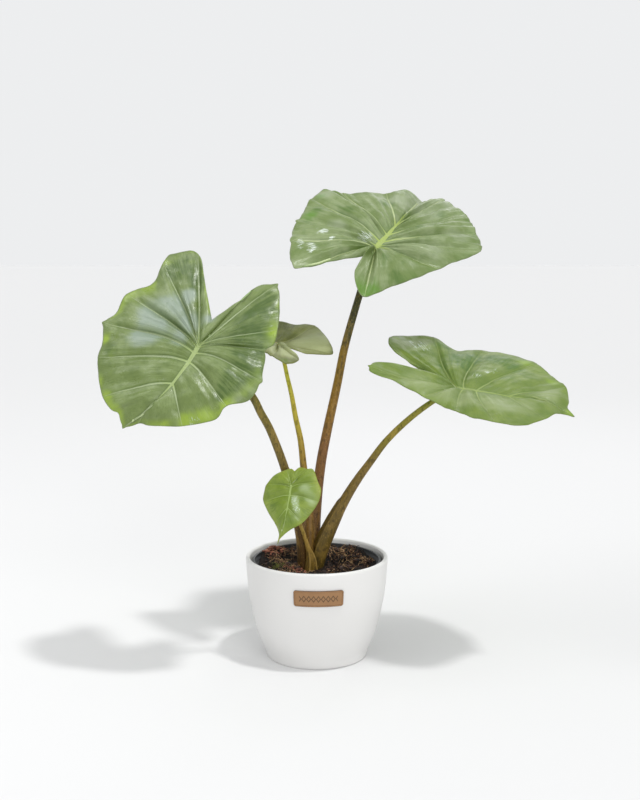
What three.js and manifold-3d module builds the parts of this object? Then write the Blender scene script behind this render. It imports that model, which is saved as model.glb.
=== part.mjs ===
// A potted mask alocasia, in millimetres, +Z up. The origin is the centre of the outer pot's
// flat foot, and the front of the plant, which carries the name plate, faces -Y.
//
// The plant is five leaves. Each has a blade, which is a closed thin solid with waved edges and
// ribs under its veins, and a stalk, which widens downwards and sits in a socket of the corm.
// The corm and the feet of the stalks stand in the soil of a nursery pot, and that pot stands
// on the floor of the glazed outer pot.
import * as THREE from "three";
import { mergeVertices } from "three/addons/utils/BufferGeometryUtils.js";
import Module from "manifold-3d";

const wasm = await Module();
wasm.setup();

// Driving dimensions, in millimetres

const GAP = 0.3; // clearance between neighbouring pieces
const ROUND = 64; // facets round the outer pot and its plate
const ROUND_INSIDE = 48; // facets round the nursery pot and the soil
const WELD = 1e-3; // vertices closer than this are one vertex
const SLIVER = 0.02; // the same on a piece that was cut, which clears the slivers of the cut

const OUTER_POT = {
  height: 100.4,
  footRadius: 49,
  footTurn: [0.8, 0.6], // how far the foot's edge steps out and up before the belly
  wall: 4.2,
  floor: 6,
  cove: 4, // radius of the fillet between the floor and the inside
  steps: 9, // bands of facets up the outside
  stepsInside: 6,
  lipTurns: [0.25, 0.5, 0.75], // facets over the rounded lip, as shares of a half turn
  // radius and height on the belly of the pot, from the turn of the foot to the lip
  belly: [
    [50.3, 2.4],
    [52.2, 8.4],
    [56.6, 18.6],
    [60, 28.4],
    [63.8, 43.9],
    [66.8, 60],
    [68.8, 77],
    [70.2, 98.3],
  ],
};

const NURSERY_POT = {
  footRadius: 43,
  wall: 1.4,
  bandFoot: 87, // height at which the wall steps out into the band of the rim
  bandRadius: 60.5, // outside radius of the wall just under the band
  rimTop: 96.6,
  rimRadius: 63.8,
  rimWidth: 2.6,
  bandStep: 1.5, // how far above the outside step the inside one lies
  chamfer: 0.6,
  drainHoles: 8,
  drainRadius: 4.5,
  drainRing: 28,
  drainFacets: 12,
};

const SOIL = {
  top: 88.2, // height at the stalks
  bowl: 2.2, // how far it climbs to the wall
  backRise: 4.6, // how much higher it lies at the back than at the front
  lump: 0.5, // height of the slow waves in its surface
  lumpLength: 24,
  crumb: 0.6, // height of the quick ones
  crumbLength: 9,
  rings: 8,
  edgeDepth: 3, // how far below the step of the pot's wall the side of the soil ends
};

const PLATE = {
  width: 46.4,
  height: 15.6,
  corner: 2.2,
  thickness: 1.3,
  middleX: 1.8,
  middleZ: 76.4,
  bands: 20, // bands of facets that the whole belly would have behind the plate
};

const CORM = { top: 80, bottom: 40, radius: 19, middleX: -5, middleY: -3, facets: 16 };

const BLADE = {
  thickness: 0.9,
  rib: 1.7, // how much thicker the blade is under the midrib at the hub
  sideRib: 0.5, // the same under a side vein, as a share of rib
  ribFade: 0.75, // share of the rib that is lost on the way to the tip
  ringPower: 1.15, // rings lie a little closer together towards the hub
  liftPower: 1.6, // a blade stays flat near the hub and lifts or droops towards its margin
  veinSweep: 0.05, // how far a side vein bows towards the lobes, as a share of its length
};

// Each leaf: where the stalk meets the blade (hub), the way the midrib runs and the way the
// upper side faces there. arch and bend are how far the midrib droops and strays sideways over
// its first 100 mm. A row of the margin is the distance along the midrib of the root of its ray,
// then where the ray meets the margin on either side: along and across the midrib, and lift.
// Rows run from the sinus between the lobes to the tip, and odd ones between them are bays,
// where the margin draws in, while even ones are the ends of side veins.
const LEAVES = [
  {
    name: "left",
    hub: [-107, -70, 314],
    midrib: [-0.42, -0.5, -0.755],
    upside: [-0.16, -0.78, 0.6],
    arch: 16,
    bend: -32,
    puff: 3.2,
    rings: 8,
    margin: [
      [0, [-30, -2, 0], [-30, -2, 0]],
      [0, [-56, -21, 2], [-58, 15, 0]],
      [0, [-92, -50, 0], [-85, 36, -4]],
      [0, [-86, -75, -2], [-64, 51, -4]],
      [0, [-70, -76, 2], [-42, 60, -3]],
      [1, [-47, -78, -2], [-28, 63, -5]],
      [2, [-29, -95, 0], [-19, 59, -4]],
      [4, [-7, -96, -3], [-11, 62, -7]],
      [8, [6, -101, -3], [10, 68, -5]],
      [12, [24, -93, -5], [29, 66, -9]],
      [18, [41, -88, -4], [44, 50, -7]],
      [28, [57, -79, -8], [58, 44, -11]],
      [42, [74, -65, -9], [74, 19, -11]],
      [56, [84, -49, -13], [85, -14, -15]],
      [76, [92, -34, -16], [92, -34, -16]],
    ],
  },
  {
    name: "top",
    hub: [58, 30, 401],
    midrib: [0.43, 0.79, 0.44],
    upside: [0.13, -0.53, 0.83],
    arch: 12,
    bend: 4,
    puff: 3.6,
    rings: 8,
    margin: [
      [0, [-21, 5, 0], [-21, 5, 0]],
      [0, [-48, 31, -2], [-45, 2, -6]],
      [0, [-70, 53, -4], [-57, -16, -16]],
      [0, [-55, 67, -4], [-34, -35, -12]],
      [0, [-35, 75, -2], [15, -63, -6]],
      [1, [-13, 85, -4], [41, -76, -6]],
      [3, [1, 86, -2], [63, -88, -3]],
      [6, [26, 91, -4], [82, -83, -5]],
      [12, [48, 95, -3], [98, -72, -3]],
      [20, [78, 92, -5], [116, -61, -6]],
      [30, [85, 74, -6], [130, -49, -6]],
      [42, [106, 58, -9], [143, -33, -10]],
      [54, [119, 38, -10], [151, -15, -12]],
      [68, [147, 28, -14], [156, -6, -18]],
      [84, [172, 8, -36], [172, 8, -36]],
    ],
  },
  {
    name: "right",
    hub: [134, -25, 270],
    midrib: [0.955, -0.275, -0.11],
    upside: [0.023, -0.3, 0.954],
    arch: 8,
    bend: 8,
    puff: 3,
    rings: 8,
    margin: [
      [0, [-39, 18, 4], [-39, 18, 4]],
      [0, [-62, 32, 10], [-63, 5, 14]],
      [0, [-82, 54, 14], [-80, -24, 22]],
      [0, [-80, 81, 12], [-54, -23, 8]],
      [0, [-45, 96, 8], [-27, -30, 0]],
      [2, [-21, 96, -1], [-8, -40, -1]],
      [6, [5, 100, 0], [8, -49, 0]],
      [12, [35, 101, -1], [27, -57, -1]],
      [18, [63, 85, 0], [45, -59, 0]],
      [32, [85, 60, -2], [69, -54, -2]],
      [48, [98, 43, -3], [87, -31, -3]],
      [62, [104, 20, -6], [98, -9, -6]],
      [80, [112, 1, -12], [112, 1, -12]],
    ],
  },
  {
    name: "back",
    hub: [-39, 25, 308],
    midrib: [-0.86, 0.45, 0.26],
    upside: [0.126, -0.3, 0.945],
    arch: 14,
    bend: 0,
    puff: 2,
    rings: 8,
    margin: [
      [0, [-12, 1, 0], [-12, 1, 0]],
      [0, [-31, 16, 4], [-33, -3, -1]],
      [0, [-42, 30, 6], [-47, -25, -2]],
      [0, [-39, 47, 7], [-39, -37, 2]],
      [0, [-22, 45, 8], [-8, -58, 5]],
      [2, [-8, 39, 6], [9, -47, 5]],
      [6, [13, 34, 7], [22, -37, 6]],
      [16, [33, 25, 2], [41, -31, 1]],
      [28, [52, 14, -2], [56, -20, -2]],
      [40, [64, 6, -7], [65, -11, -7]],
      [52, [75, 0, -10], [75, 0, -10]],
    ],
  },
  {
    name: "young",
    hub: [-24, -45, 180],
    midrib: [-0.14, -0.4, -0.91],
    upside: [-0.3, -0.85, 0.42],
    arch: 8,
    bend: -10,
    puff: 1.3,
    rings: 6,
    margin: [
      [0, [-14, 1, 0], [-14, 1, 0]],
      [0, [-16, -2, 0], [-18, 6, 0]],
      [0, [-15, -7, 0], [-17, 13, 0]],
      [0, [-10, -18, -2], [-17, 19, -2]],
      [2, [0, -26, -3], [-6, 25, -3]],
      [5, [10, -28, -4], [2, 29, -4]],
      [10, [17, -27, -4], [13, 28, -4]],
      [16, [28, -20, -5], [23, 23, -5]],
      [22, [37, -12, -4], [34, 15, -4]],
      [28, [46, -7, -5], [43, 2, -5]],
      [36, [53, -7, -5], [53, -7, -5]],
    ],
  },
];

// Centre line and radius of each stalk, from the hub of its blade to its foot in the corm.
// A stalk is cut clear of those listed before it, so the first stands whole in the middle.
const STALKS = [
  {
    name: "top",
    line: [
      [58, 30, 401, 3.0],
      [48, 28, 375, 3.2],
      [42, 26, 356, 3.5],
      [28, 20, 307, 3.9],
      [20, 15, 268, 4.2],
      [10, 10, 222, 4.6],
      [4, 7, 190, 4.9],
      [0, 5, 155, 5.2],
      [-2, 4, 120, 5.4],
      [-3, 3, 86, 5.6],
      [-3, 2, 68, 5.6],
    ],
  },
  {
    name: "right",
    line: [
      [134, -25, 270, 2.3],
      [126, -24.5, 265.5, 2.4],
      [112, -24, 258, 2.6],
      [90, -21, 241, 2.9],
      [68, -18, 219, 3.2],
      [52, -15.4, 197, 3.6],
      [38, -12.8, 176.5, 4.3],
      [25.5, -11, 155, 5.2],
      [15, -9, 134, 6.8],
      [6, -7.5, 113, 7.6],
      [1, -6.5, 96, 7.2],
      [-1, -6, 84, 7],
      [-3, -5, 70, 6.4],
    ],
  },
  {
    name: "left",
    line: [
      [-107, -70, 314, 3.0],
      [-95, -65, 306, 3.1],
      [-78, -58, 289, 3.3],
      [-60, -52, 266, 3.6],
      [-52, -46, 249, 3.7],
      [-43, -39, 230, 3.8],
      [-31, -27, 194, 4.1],
      [-23, -20, 160, 4.6],
      [-15.5, -13, 122, 5.2],
      [-13, -10, 88, 5.4],
      [-11, -8, 70, 5.2],
    ],
  },
  {
    name: "back",
    line: [
      [-39, 25, 308, 1.9],
      [-33, 25, 292, 2.0],
      [-29, 25, 274, 2.1],
      [-25, 23, 257, 2.3],
      [-21, 20, 235, 2.6],
      [-16, 17, 212, 3.0],
      [-13, 12, 186, 3.5],
      [-10, 6, 160, 4.4],
      [-7.5, 1, 135, 5.4],
      [-7.5, -1, 112, 5.8],
      [-8, -2, 88, 6.0],
      [-8, -1, 70, 5.2],
    ],
  },
  {
    name: "young",
    line: [
      [-24, -45, 180, 1.4],
      [-22, -38, 166, 1.5],
      [-19, -31, 151, 1.6],
      [-16, -26, 138, 1.7],
      [-12.5, -22, 127, 1.8],
      [-8.8, -19, 114, 2.2],
      [-6.5, -17, 104, 3.8],
      [-6, -16, 96, 5.2],
      [-6.5, -15, 86, 6.0],
      [-7, -13, 70, 5.0],
    ],
  },
];

const STALK_SIDES = 12;
const STALK_TURN = 0.35; // where the first facet starts, in facets
const STALK_STEP = 14; // length of a stalk between two of its rings

const COLOURS = {
  outer_pot: [0xe9e9e7, 0.35],
  nursery_pot: [0x3b3d3f, 0.6],
  soil: [0x33231a, 0.95],
  name_plate: [0x9c7650, 0.6],
  corm: [0x5a3f28, 0.9],
  blade_left: [0x64824f, 0.35],
  blade_top: [0x90a877, 0.38],
  blade_right: [0x8fae5c, 0.38],
  blade_back: [0x98a679, 0.45],
  blade_young: [0x7aa043, 0.35],
  stalk_left: [0x8d7c45, 0.5],
  stalk_top: [0x6f5526, 0.5],
  stalk_right: [0x857a3a, 0.5],
  stalk_back: [0xa89a45, 0.5],
  stalk_young: [0xa0913f, 0.5],
};

// Solids and booleans

// The triangles that still have three corners of their own.
function withoutCollapsed(corners) {
  const kept = [];
  for (let i = 0; i < corners.length; i += 3) {
    const [a, b, c] = corners.slice(i, i + 3);
    if (a !== b && b !== c && c !== a) kept.push(a, b, c);
  }
  return kept;
}

// Turns a closed geometry into a solid, welded, with its collapsed triangles dropped.
function solidOf(geometry, apart = WELD) {
  const bare = new THREE.BufferGeometry();
  bare.setAttribute("position", geometry.getAttribute("position"));
  bare.setIndex(geometry.getIndex());
  const welded = mergeVertices(bare, apart);
  return new wasm.Manifold(
    new wasm.Mesh({
      numProp: 3,
      vertProperties: new Float32Array(welded.getAttribute("position").array),
      triVerts: new Uint32Array(withoutCollapsed(welded.getIndex().array)),
    }),
  );
}

function geometryOf(solid) {
  const mesh = solid.getMesh();
  const geometry = new THREE.BufferGeometry();
  geometry.setAttribute("position", new THREE.BufferAttribute(mesh.vertProperties, 3));
  geometry.setIndex(new THREE.BufferAttribute(mesh.triVerts, 1));
  return geometry;
}

// The largest body of a solid that a cut may have left in several scraps.
function largest(solid) {
  return solid.decompose().reduce((best, next) => (next.volume() > best.volume() ? next : best));
}

function cut(solid, tools) {
  const left = largest(tools.reduce((rest, tool) => rest.subtract(tool), solid));
  return solidOf(geometryOf(left), SLIVER);
}

// A solid of revolution about Z, from a profile of [radius, height] pairs that runs from the
// axis along the outside and back to the axis.
function turned(profile, facets = ROUND) {
  const points = profile.map(([radius, height]) => new THREE.Vector2(radius, height));
  return new THREE.LatheGeometry(points, facets).rotateX(Math.PI / 2);
}

// Pots, soil and name plate

// The pot's belly as [radius, height] pairs, moved sideways by offset, from the foot up.
function bellyLine(offset, steps) {
  const curve = new THREE.SplineCurve(OUTER_POT.belly.map(([r, z]) => new THREE.Vector2(r, z)));
  return curve.getSpacedPoints(steps).map((p) => [p.x + offset, p.y]);
}

function outerPotProfile() {
  const { height, footRadius, footTurn, wall, floor, cove, steps, stepsInside, lipTurns } = OUTER_POT;
  const turn = [footRadius + footTurn[0], footTurn[1]];
  const outside = bellyLine(0, steps);
  const inside = bellyLine(-wall, stepsInside).filter(([, z]) => z > floor + cove).reverse();
  const lipRadius = outside.at(-1)[0] - wall / 2;
  const lipFoot = outside.at(-1)[1];
  const lip = lipTurns.map((share) => {
    const angle = Math.PI * share;
    return [lipRadius + (wall / 2) * Math.cos(angle), lipFoot + (height - lipFoot) * Math.sin(angle)];
  });
  const corner = [inside.at(-1)[0] - cove, floor];
  return [[0, 0], [footRadius, 0], turn, ...outside, ...lip, ...inside, corner, [0, floor]];
}

function nurseryPotSolid() {
  const pot = NURSERY_POT;
  const foot = OUTER_POT.floor + GAP;
  const rimInside = pot.rimRadius - pot.rimWidth;
  const profile = [
    [0, foot],
    [pot.footRadius, foot],
    [pot.bandRadius, pot.bandFoot],
    [pot.rimRadius - pot.chamfer, pot.bandFoot + pot.chamfer],
    [pot.rimRadius, pot.rimTop - pot.chamfer],
    [pot.rimRadius - pot.chamfer, pot.rimTop],
    [rimInside + pot.chamfer, pot.rimTop],
    [rimInside, pot.rimTop - pot.chamfer],
    [pot.bandRadius - pot.wall, pot.bandFoot + pot.bandStep],
    [pot.footRadius - pot.wall, foot + pot.wall],
    [0, foot + pot.wall],
  ];
  const holes = [];
  for (let i = 0; i < pot.drainHoles; i++) {
    const hole = new THREE.CylinderGeometry(pot.drainRadius, pot.drainRadius, 3 * pot.wall, pot.drainFacets)
      .rotateX(Math.PI / 2)
      .translate(pot.drainRing, 0, foot + pot.wall / 2)
      .rotateZ((2 * Math.PI * i) / pot.drainHoles);
    holes.push(solidOf(hole));
  }
  return cut(solidOf(turned(profile, ROUND_INSIDE)), holes);
}

// Two crossed sets of waves, between -1 and 1.
function waves(x, y, length) {
  const turn = (2 * Math.PI) / length;
  return Math.sin(turn * (x + 0.6 * y)) * Math.sin(turn * (y - 0.5 * x));
}

// Height of the soil's crumbly surface.
function soilHeight(x, y) {
  const out = Math.hypot(x, y) / NURSERY_POT.bandRadius;
  const back = (1 + y / NURSERY_POT.bandRadius) / 2;
  const slope = SOIL.bowl * out * out + SOIL.backRise * back * out;
  const lumps = SOIL.lump * waves(x, y, SOIL.lumpLength);
  const crumbs = SOIL.crumb * waves(x, y, SOIL.crumbLength);
  return SOIL.top + slope + lumps + crumbs;
}

function soilGeometry() {
  const pot = NURSERY_POT;
  const foot = OUTER_POT.floor + 2 * GAP + pot.wall;
  const { rings, edgeDepth } = SOIL;
  const clear = pot.wall + GAP * 1.5;
  const widen = (pot.bandRadius - pot.footRadius) / (pot.bandFoot - OUTER_POT.floor - GAP);
  const edge = pot.bandRadius - clear;
  const side = [edge - edgeDepth * widen, pot.bandFoot - edgeDepth];
  const profile = [[0, foot], [pot.footRadius - clear, foot], side];
  for (let ring = rings; ring >= 0; ring--) profile.push([(edge * ring) / rings, SOIL.top]);
  const geometry = turned(profile, ROUND_INSIDE);
  const place = geometry.getAttribute("position");
  for (let i = 0; i < place.count; i++) {
    if (place.getZ(i) > pot.bandFoot) place.setZ(i, soilHeight(place.getX(i), place.getY(i)));
  }
  return geometry;
}

// The plate is the part of a shell round the pot that lies in a rounded rectangle at the front.
function platePieces() {
  const { width, height, corner, thickness, middleX, middleZ, bands } = PLATE;
  const near = bellyLine(GAP, bands).filter(([, z]) => Math.abs(z - middleZ) < height);
  const far = near.map(([r, z]) => [r + thickness, z]).reverse();
  const shell = turned([...near, ...far, near[0]].reverse());
  const outline = new THREE.Shape();
  const x = width / 2;
  const y = height / 2;
  outline.moveTo(x - corner, -y);
  outline.absarc(x - corner, corner - y, corner, -Math.PI / 2, 0);
  outline.absarc(x - corner, y - corner, corner, 0, Math.PI / 2);
  outline.absarc(corner - x, y - corner, corner, Math.PI / 2, Math.PI);
  outline.absarc(corner - x, corner - y, corner, Math.PI, Math.PI * 1.5);
  outline.closePath();
  const depth = 2 * OUTER_POT.footRadius;
  const prism = new THREE.ExtrudeGeometry(outline, { depth, bevelEnabled: false, curveSegments: 5 })
    .rotateX(Math.PI / 2)
    .translate(middleX, 0, middleZ);
  return { shell, prism };
}

// Stalks and corm

// A closed tube round a line of [x, y, z, radius] rows, its radius enlarged by extra.
function stalkGeometry(line, extra) {
  const centres = line.map(([x, y, z]) => new THREE.Vector3(x, y, z));
  const curve = new THREE.CatmullRomCurve3(centres, false, "centripetal");
  const steps = Math.ceil(curve.getLength() / STALK_STEP);
  const frames = curve.computeFrenetFrames(steps, false);
  const places = [];
  for (let i = 0; i <= steps; i++) {
    const centre = curve.getPointAt(i / steps);
    const row = curve.getUtoTmapping(i / steps) * (line.length - 1);
    const below = Math.min(Math.floor(row), line.length - 2);
    const radius = THREE.MathUtils.lerp(line[below][3], line[below + 1][3], row - below) + extra;
    for (let side = 0; side < STALK_SIDES; side++) {
      const angle = (2 * Math.PI * (side + STALK_TURN)) / STALK_SIDES;
      const point = centre.clone();
      point.addScaledVector(frames.normals[i], radius * Math.cos(angle));
      point.addScaledVector(frames.binormals[i], radius * Math.sin(angle));
      places.push(...point);
    }
  }
  const corners = [];
  const last = steps * STALK_SIDES;
  for (let side = 0; side < STALK_SIDES; side++) {
    const next = (side + 1) % STALK_SIDES;
    for (let ring = 0; ring < last; ring += STALK_SIDES) {
      const above = ring + STALK_SIDES;
      corners.push(ring + side, ring + next, above + next, ring + side, above + next, above + side);
    }
    if (side > 0 && next > 0) corners.push(0, next, side, last, last + side, last + next);
  }
  const tube = new THREE.BufferGeometry();
  tube.setAttribute("position", new THREE.Float32BufferAttribute(places, 3));
  tube.setIndex(corners);
  return tube;
}

function cormGeometry(extra) {
  const { top, bottom, radius, middleX, middleY, facets } = CORM;
  const tall = (top - bottom) / 2;
  return new THREE.SphereGeometry(1, facets, facets / 2)
    .rotateX(Math.PI / 2)
    .scale(radius + extra, radius + extra, tall + extra)
    .translate(middleX, middleY, bottom + tall);
}

// Blades

// Smooth curve through rows of numbers, at row position t, column by column.
function through(rows, t) {
  const i = Math.min(Math.floor(t), rows.length - 2);
  const f = t - i;
  const row = (j) => rows[Math.max(0, Math.min(rows.length - 1, j))];
  const mirror = (end, inner) => end.map((value, k) => 2 * value - inner[k]);
  const a = i > 0 ? row(i - 1) : mirror(row(0), row(1));
  const d = i < rows.length - 2 ? row(i + 2) : mirror(row(i + 1), row(i));
  return row(i).map((b, k) => {
    const c = row(i + 1)[k];
    const slope = c - a[k];
    const dip = 2 * a[k] - 5 * b + 4 * c - d[k];
    return b + 0.5 * (slope * f + dip * f * f + (3 * b - a[k] - 3 * c + d[k]) * f * f * f);
  });
}

// Point of the midrib at a distance from the hub, in the blade's own frame.
function midribPoint(leaf, root) {
  const far = (root / 100) ** 2;
  return [root, leaf.bend * far, -leaf.arch * far];
}

// Point of the upper face at row position t and share s of the way from midrib to margin,
// with the thickness of the blade there.
function bladePoint(leaf, margin, t, s) {
  const [root, along, across, lift] = through(margin, t);
  const start = midribPoint(leaf, Math.max(0, root));
  const length = Math.hypot(along - start[0], across - start[1]);
  const squareOn = (across - start[1]) / length;
  const hump = 4 * s * (1 - s);
  const sweep = BLADE.veinSweep * length * squareOn * squareOn * hump;
  // 0 on a side vein and 1 half way between two of them
  const between = t < 2 ? Math.cos((Math.PI * t) / 4) ** 2 : Math.sin((Math.PI * t) / 2) ** 2;
  const span = margin.length - 1;
  const fade = 1 - (BLADE.ribFade * Math.max(0, root)) / margin[span][0];
  const share = s === 0 ? 1 : BLADE.sideRib * (1 - between);
  const rib = BLADE.rib * (1 - s) ** 2 * share * fade;
  return {
    place: [
      start[0] + (along - start[0]) * s - sweep,
      start[1] + (across - start[1]) * s,
      start[2] + (lift - start[2]) * s ** BLADE.liftPower + leaf.puff * between * hump,
    ],
    thickness: BLADE.thickness + rib,
  };
}

// The upper face as an open, welded surface. Each side is a grid of rays from the midrib to the
// margin. The two grids share the midrib, the ray to the tip and the ray to the sinus.
function bladeSurface(leaf) {
  const columns = (leaf.margin.length - 1) * 2;
  const places = [];
  const depths = [];
  const corners = [];
  for (const side of [1, 2]) {
    const margin = leaf.margin.map((row) => [row[0], ...row[side]]);
    const first = places.length / 3;
    for (let column = 0; column <= columns; column++) {
      for (let ring = 0; ring <= leaf.rings; ring++) {
        const s = (ring / leaf.rings) ** BLADE.ringPower;
        const { place, thickness } = bladePoint(leaf, margin, column / 2, s);
        places.push(...place);
        depths.push(thickness);
      }
    }
    const step = leaf.rings + 1;
    const leftHand = margin[4][2] < 0;
    for (let column = 0; column < columns; column++) {
      for (let ring = 0; ring < leaf.rings; ring++) {
        const a = first + column * step + ring;
        const [b, c, d] = [a + 1, a + step + 1, a + step];
        corners.push(...(leftHand ? [a, b, c, a, c, d] : [a, c, b, a, d, c]));
      }
    }
  }
  const surface = new THREE.BufferGeometry();
  surface.setAttribute("position", new THREE.Float32BufferAttribute(places, 3));
  surface.setAttribute("depth", new THREE.Float32BufferAttribute(depths, 1));
  surface.setIndex(corners);
  const welded = mergeVertices(surface, WELD);
  welded.setIndex(withoutCollapsed(welded.getIndex().array));
  welded.computeVertexNormals();
  return welded;
}

// Closes an open surface into a plate: the under face has the same triangles, moved down the
// normals by the blade's depth, and a strip joins the two faces along the free edge. With a
// clearance the plate is that much fatter on both faces.
function plateOf(surface, clearance) {
  const place = surface.getAttribute("position");
  const normal = surface.getAttribute("normal");
  const depth = surface.getAttribute("depth");
  const corners = surface.getIndex().array;
  const places = [];
  for (const face of [0, 1]) {
    for (let i = 0; i < place.count; i++) {
      const out = face === 0 ? clearance : -depth.getX(i) - clearance;
      places.push(place.getX(i) + normal.getX(i) * out);
      places.push(place.getY(i) + normal.getY(i) * out);
      places.push(place.getZ(i) + normal.getZ(i) * out);
    }
  }
  const under = place.count;
  const triangles = [...corners];
  const edges = new Map();
  for (let i = 0; i < corners.length; i += 3) {
    const [a, b, c] = corners.slice(i, i + 3);
    triangles.push(a + under, c + under, b + under);
    for (const [from, to] of [[a, b], [b, c], [c, a]]) edges.set(`${from} ${to}`, [from, to]);
  }
  for (const [from, to] of edges.values()) {
    if (edges.has(`${to} ${from}`)) continue;
    triangles.push(to, from, from + under, to, from + under, to + under);
  }
  const plate = new THREE.BufferGeometry();
  plate.setAttribute("position", new THREE.Float32BufferAttribute(places, 3));
  plate.setIndex(triangles);
  return plate;
}

// The turn and place that carry a blade from its own frame to the plant's.
function bladeFrame(leaf) {
  const up = new THREE.Vector3(...leaf.upside).normalize();
  const along = new THREE.Vector3(...leaf.midrib);
  along.addScaledVector(up, -along.dot(up)).normalize();
  const across = new THREE.Vector3().crossVectors(up, along);
  const matrix = new THREE.Matrix4().makeBasis(along, across, up);
  return matrix.setPosition(...leaf.hub);
}

// Assembly

function named(name, geometry) {
  const [color, roughness] = COLOURS[name];
  const finish = new THREE.MeshStandardMaterial({ color, roughness, metalness: 0 });
  const mesh = new THREE.Mesh(geometry, finish);
  mesh.name = name;
  return mesh;
}

const pottedPlant = new THREE.Group();

const pots = new THREE.Group();
pots.add(named("outer_pot", turned(outerPotProfile())));
pots.add(named("nursery_pot", geometryOf(nurseryPotSolid())));
const { shell, prism } = platePieces();
pots.add(named("name_plate", geometryOf(solidOf(shell).intersect(solidOf(prism)))));
pottedPlant.add(pots);

const bladeClearances = new Map();
for (const leaf of LEAVES) {
  const surface = bladeSurface(leaf);
  const frame = bladeFrame(leaf);
  const blade = named(`blade_${leaf.name}`, plateOf(surface, 0));
  blade.applyMatrix4(frame);
  pottedPlant.add(blade);
  bladeClearances.set(leaf.name, solidOf(plateOf(surface, GAP).applyMatrix4(frame)));
}

const stalkClearances = [];
for (const { name, line } of STALKS) {
  const whole = solidOf(stalkGeometry(line, 0));
  const stalk = cut(whole, [bladeClearances.get(name), ...stalkClearances]);
  pottedPlant.add(named(`stalk_${name}`, geometryOf(stalk)));
  stalkClearances.push(solidOf(stalkGeometry(line, GAP)));
}

const corm = cut(solidOf(cormGeometry(0)), stalkClearances);
pottedPlant.add(named("corm", geometryOf(corm)));

const soil = cut(solidOf(soilGeometry()), [...stalkClearances, solidOf(cormGeometry(GAP))]);
pottedPlant.add(named("soil", geometryOf(soil)));

export default pottedPlant;
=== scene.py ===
# %% [markdown]
# # A mask alocasia in its pot
#
# This lesson dresses a house plant. Its solids come ready made: a white glazed pot with a dark
# nursery pot inside it, the soil, five broad leaves and the stalks that carry them. They are the
# right size and stand in the right place, but they are faceted. Each one gets a finer piece here,
# made with bmesh operators, and a finish made of procedural nodes.

# %% Load the solids
import math
import random

import bmesh
import bpy
from mathutils import Matrix, Vector, noise


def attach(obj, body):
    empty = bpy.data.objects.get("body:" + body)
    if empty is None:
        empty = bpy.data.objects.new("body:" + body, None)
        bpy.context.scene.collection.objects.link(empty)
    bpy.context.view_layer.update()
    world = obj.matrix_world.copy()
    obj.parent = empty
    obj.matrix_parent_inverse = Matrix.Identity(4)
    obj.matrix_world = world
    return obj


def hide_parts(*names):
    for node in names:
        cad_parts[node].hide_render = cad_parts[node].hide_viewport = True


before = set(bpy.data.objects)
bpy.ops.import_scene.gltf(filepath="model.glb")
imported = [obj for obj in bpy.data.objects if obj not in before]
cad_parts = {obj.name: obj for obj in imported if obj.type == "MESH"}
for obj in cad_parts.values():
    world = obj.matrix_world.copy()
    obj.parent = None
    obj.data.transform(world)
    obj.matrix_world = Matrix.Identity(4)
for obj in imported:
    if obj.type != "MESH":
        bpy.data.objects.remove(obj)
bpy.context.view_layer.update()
MM = 0.001
print("nodes:", ", ".join(sorted(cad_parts)))

# %% [markdown]
# ## Camera
#
# The camera stands a little above the pot and looks down at it by about eight degrees. That angle
# can be read from the pot's rim, because a circle seen from higher up is a rounder ellipse. The
# lens is a little long and the camera stands well back, so that the leaves near it don't swell.

# %% Camera
CAMERA_PLACE = Vector((0.0032, -1.1571, 0.4151))
CAMERA_PITCH = math.radians(7.87)
CAMERA_LENS = 54
CAMERA_SENSOR = 36

lens = bpy.data.cameras.new("camera")
lens.lens = CAMERA_LENS
lens.sensor_width = CAMERA_SENSOR
camera = bpy.data.objects.new("camera", lens)
camera.location = CAMERA_PLACE
camera.rotation_euler = (math.pi / 2 - CAMERA_PITCH, 0, 0)
bpy.context.collection.objects.link(camera)
bpy.context.scene.camera = camera
print("camera at", tuple(round(x, 3) for x in CAMERA_PLACE))

# %% [markdown]
# ## Floor
#
# The plant stands on a level white surface. A backdrop that curves up behind it would hide the
# horizon from one side only, and the plant is looked at from all sides, so the floor is one very
# large plane. It has no gloss at all: seen at a low angle even a dull floor mirrors the sky, and
# would show as a bright band far away.

# %% Floor
FLOOR_SIZE = 30
FLOOR_COLOUR = (0.72, 0.72, 0.72, 1)
FLOOR_ROUGHNESS = 0.9

floor_mesh = bpy.data.meshes.new("floor")
bm = bmesh.new()
bmesh.ops.create_grid(bm, x_segments=1, y_segments=1, size=FLOOR_SIZE / 2)
bm.to_mesh(floor_mesh)
bm.free()
floor = bpy.data.objects.new("floor", floor_mesh)
bpy.context.collection.objects.link(floor)
floor_finish = bpy.data.materials.new("floor")
floor_finish.use_nodes = True
floor_shader = floor_finish.node_tree.nodes["Principled BSDF"]
floor_shader.inputs["Base Color"].default_value = FLOOR_COLOUR
floor_shader.inputs["Roughness"].default_value = FLOOR_ROUGHNESS
floor_shader.inputs["Specular IOR Level"].default_value = 0
floor_mesh.materials.append(floor_finish)
print("floor", FLOOR_SIZE, "m across")

# %% [markdown]
# ## Light
#
# The sky near the horizon is as bright as the floor, so no horizon shows. Higher up it is darker,
# because gloss shows a form only where it has a light and a dark to mirror. Two wide suns shine
# from the front and from above. Lamps near the plant would light the floor in a pool, while suns
# light it evenly as far as the eye can see. Two panels, at the left and at the back, give the
# leaves a broad sheen.

# %% Lights
SKY_COLOUR = (0.98, 0.99, 1.0, 1)
SKY_LOW = 0.865  # brightness near the horizon
SKY_TOP = 0.69  # brightness higher up
SKY_FADE = (0.2, 0.75)  # where the one starts to turn into the other, and where it ends
SUN_PLACE = (0, 0, 2)
PANEL_TARGET = Vector((0, 0, 0.25))

# name, the way the light shines, strength, how wide it looks in degrees
SUNS = [
    ("light_front", (-0.35, 1, -0.5), 0.8, 30),
    ("light_above", (-0.3, 0.2, -1), 1.24, 5),
]
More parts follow.
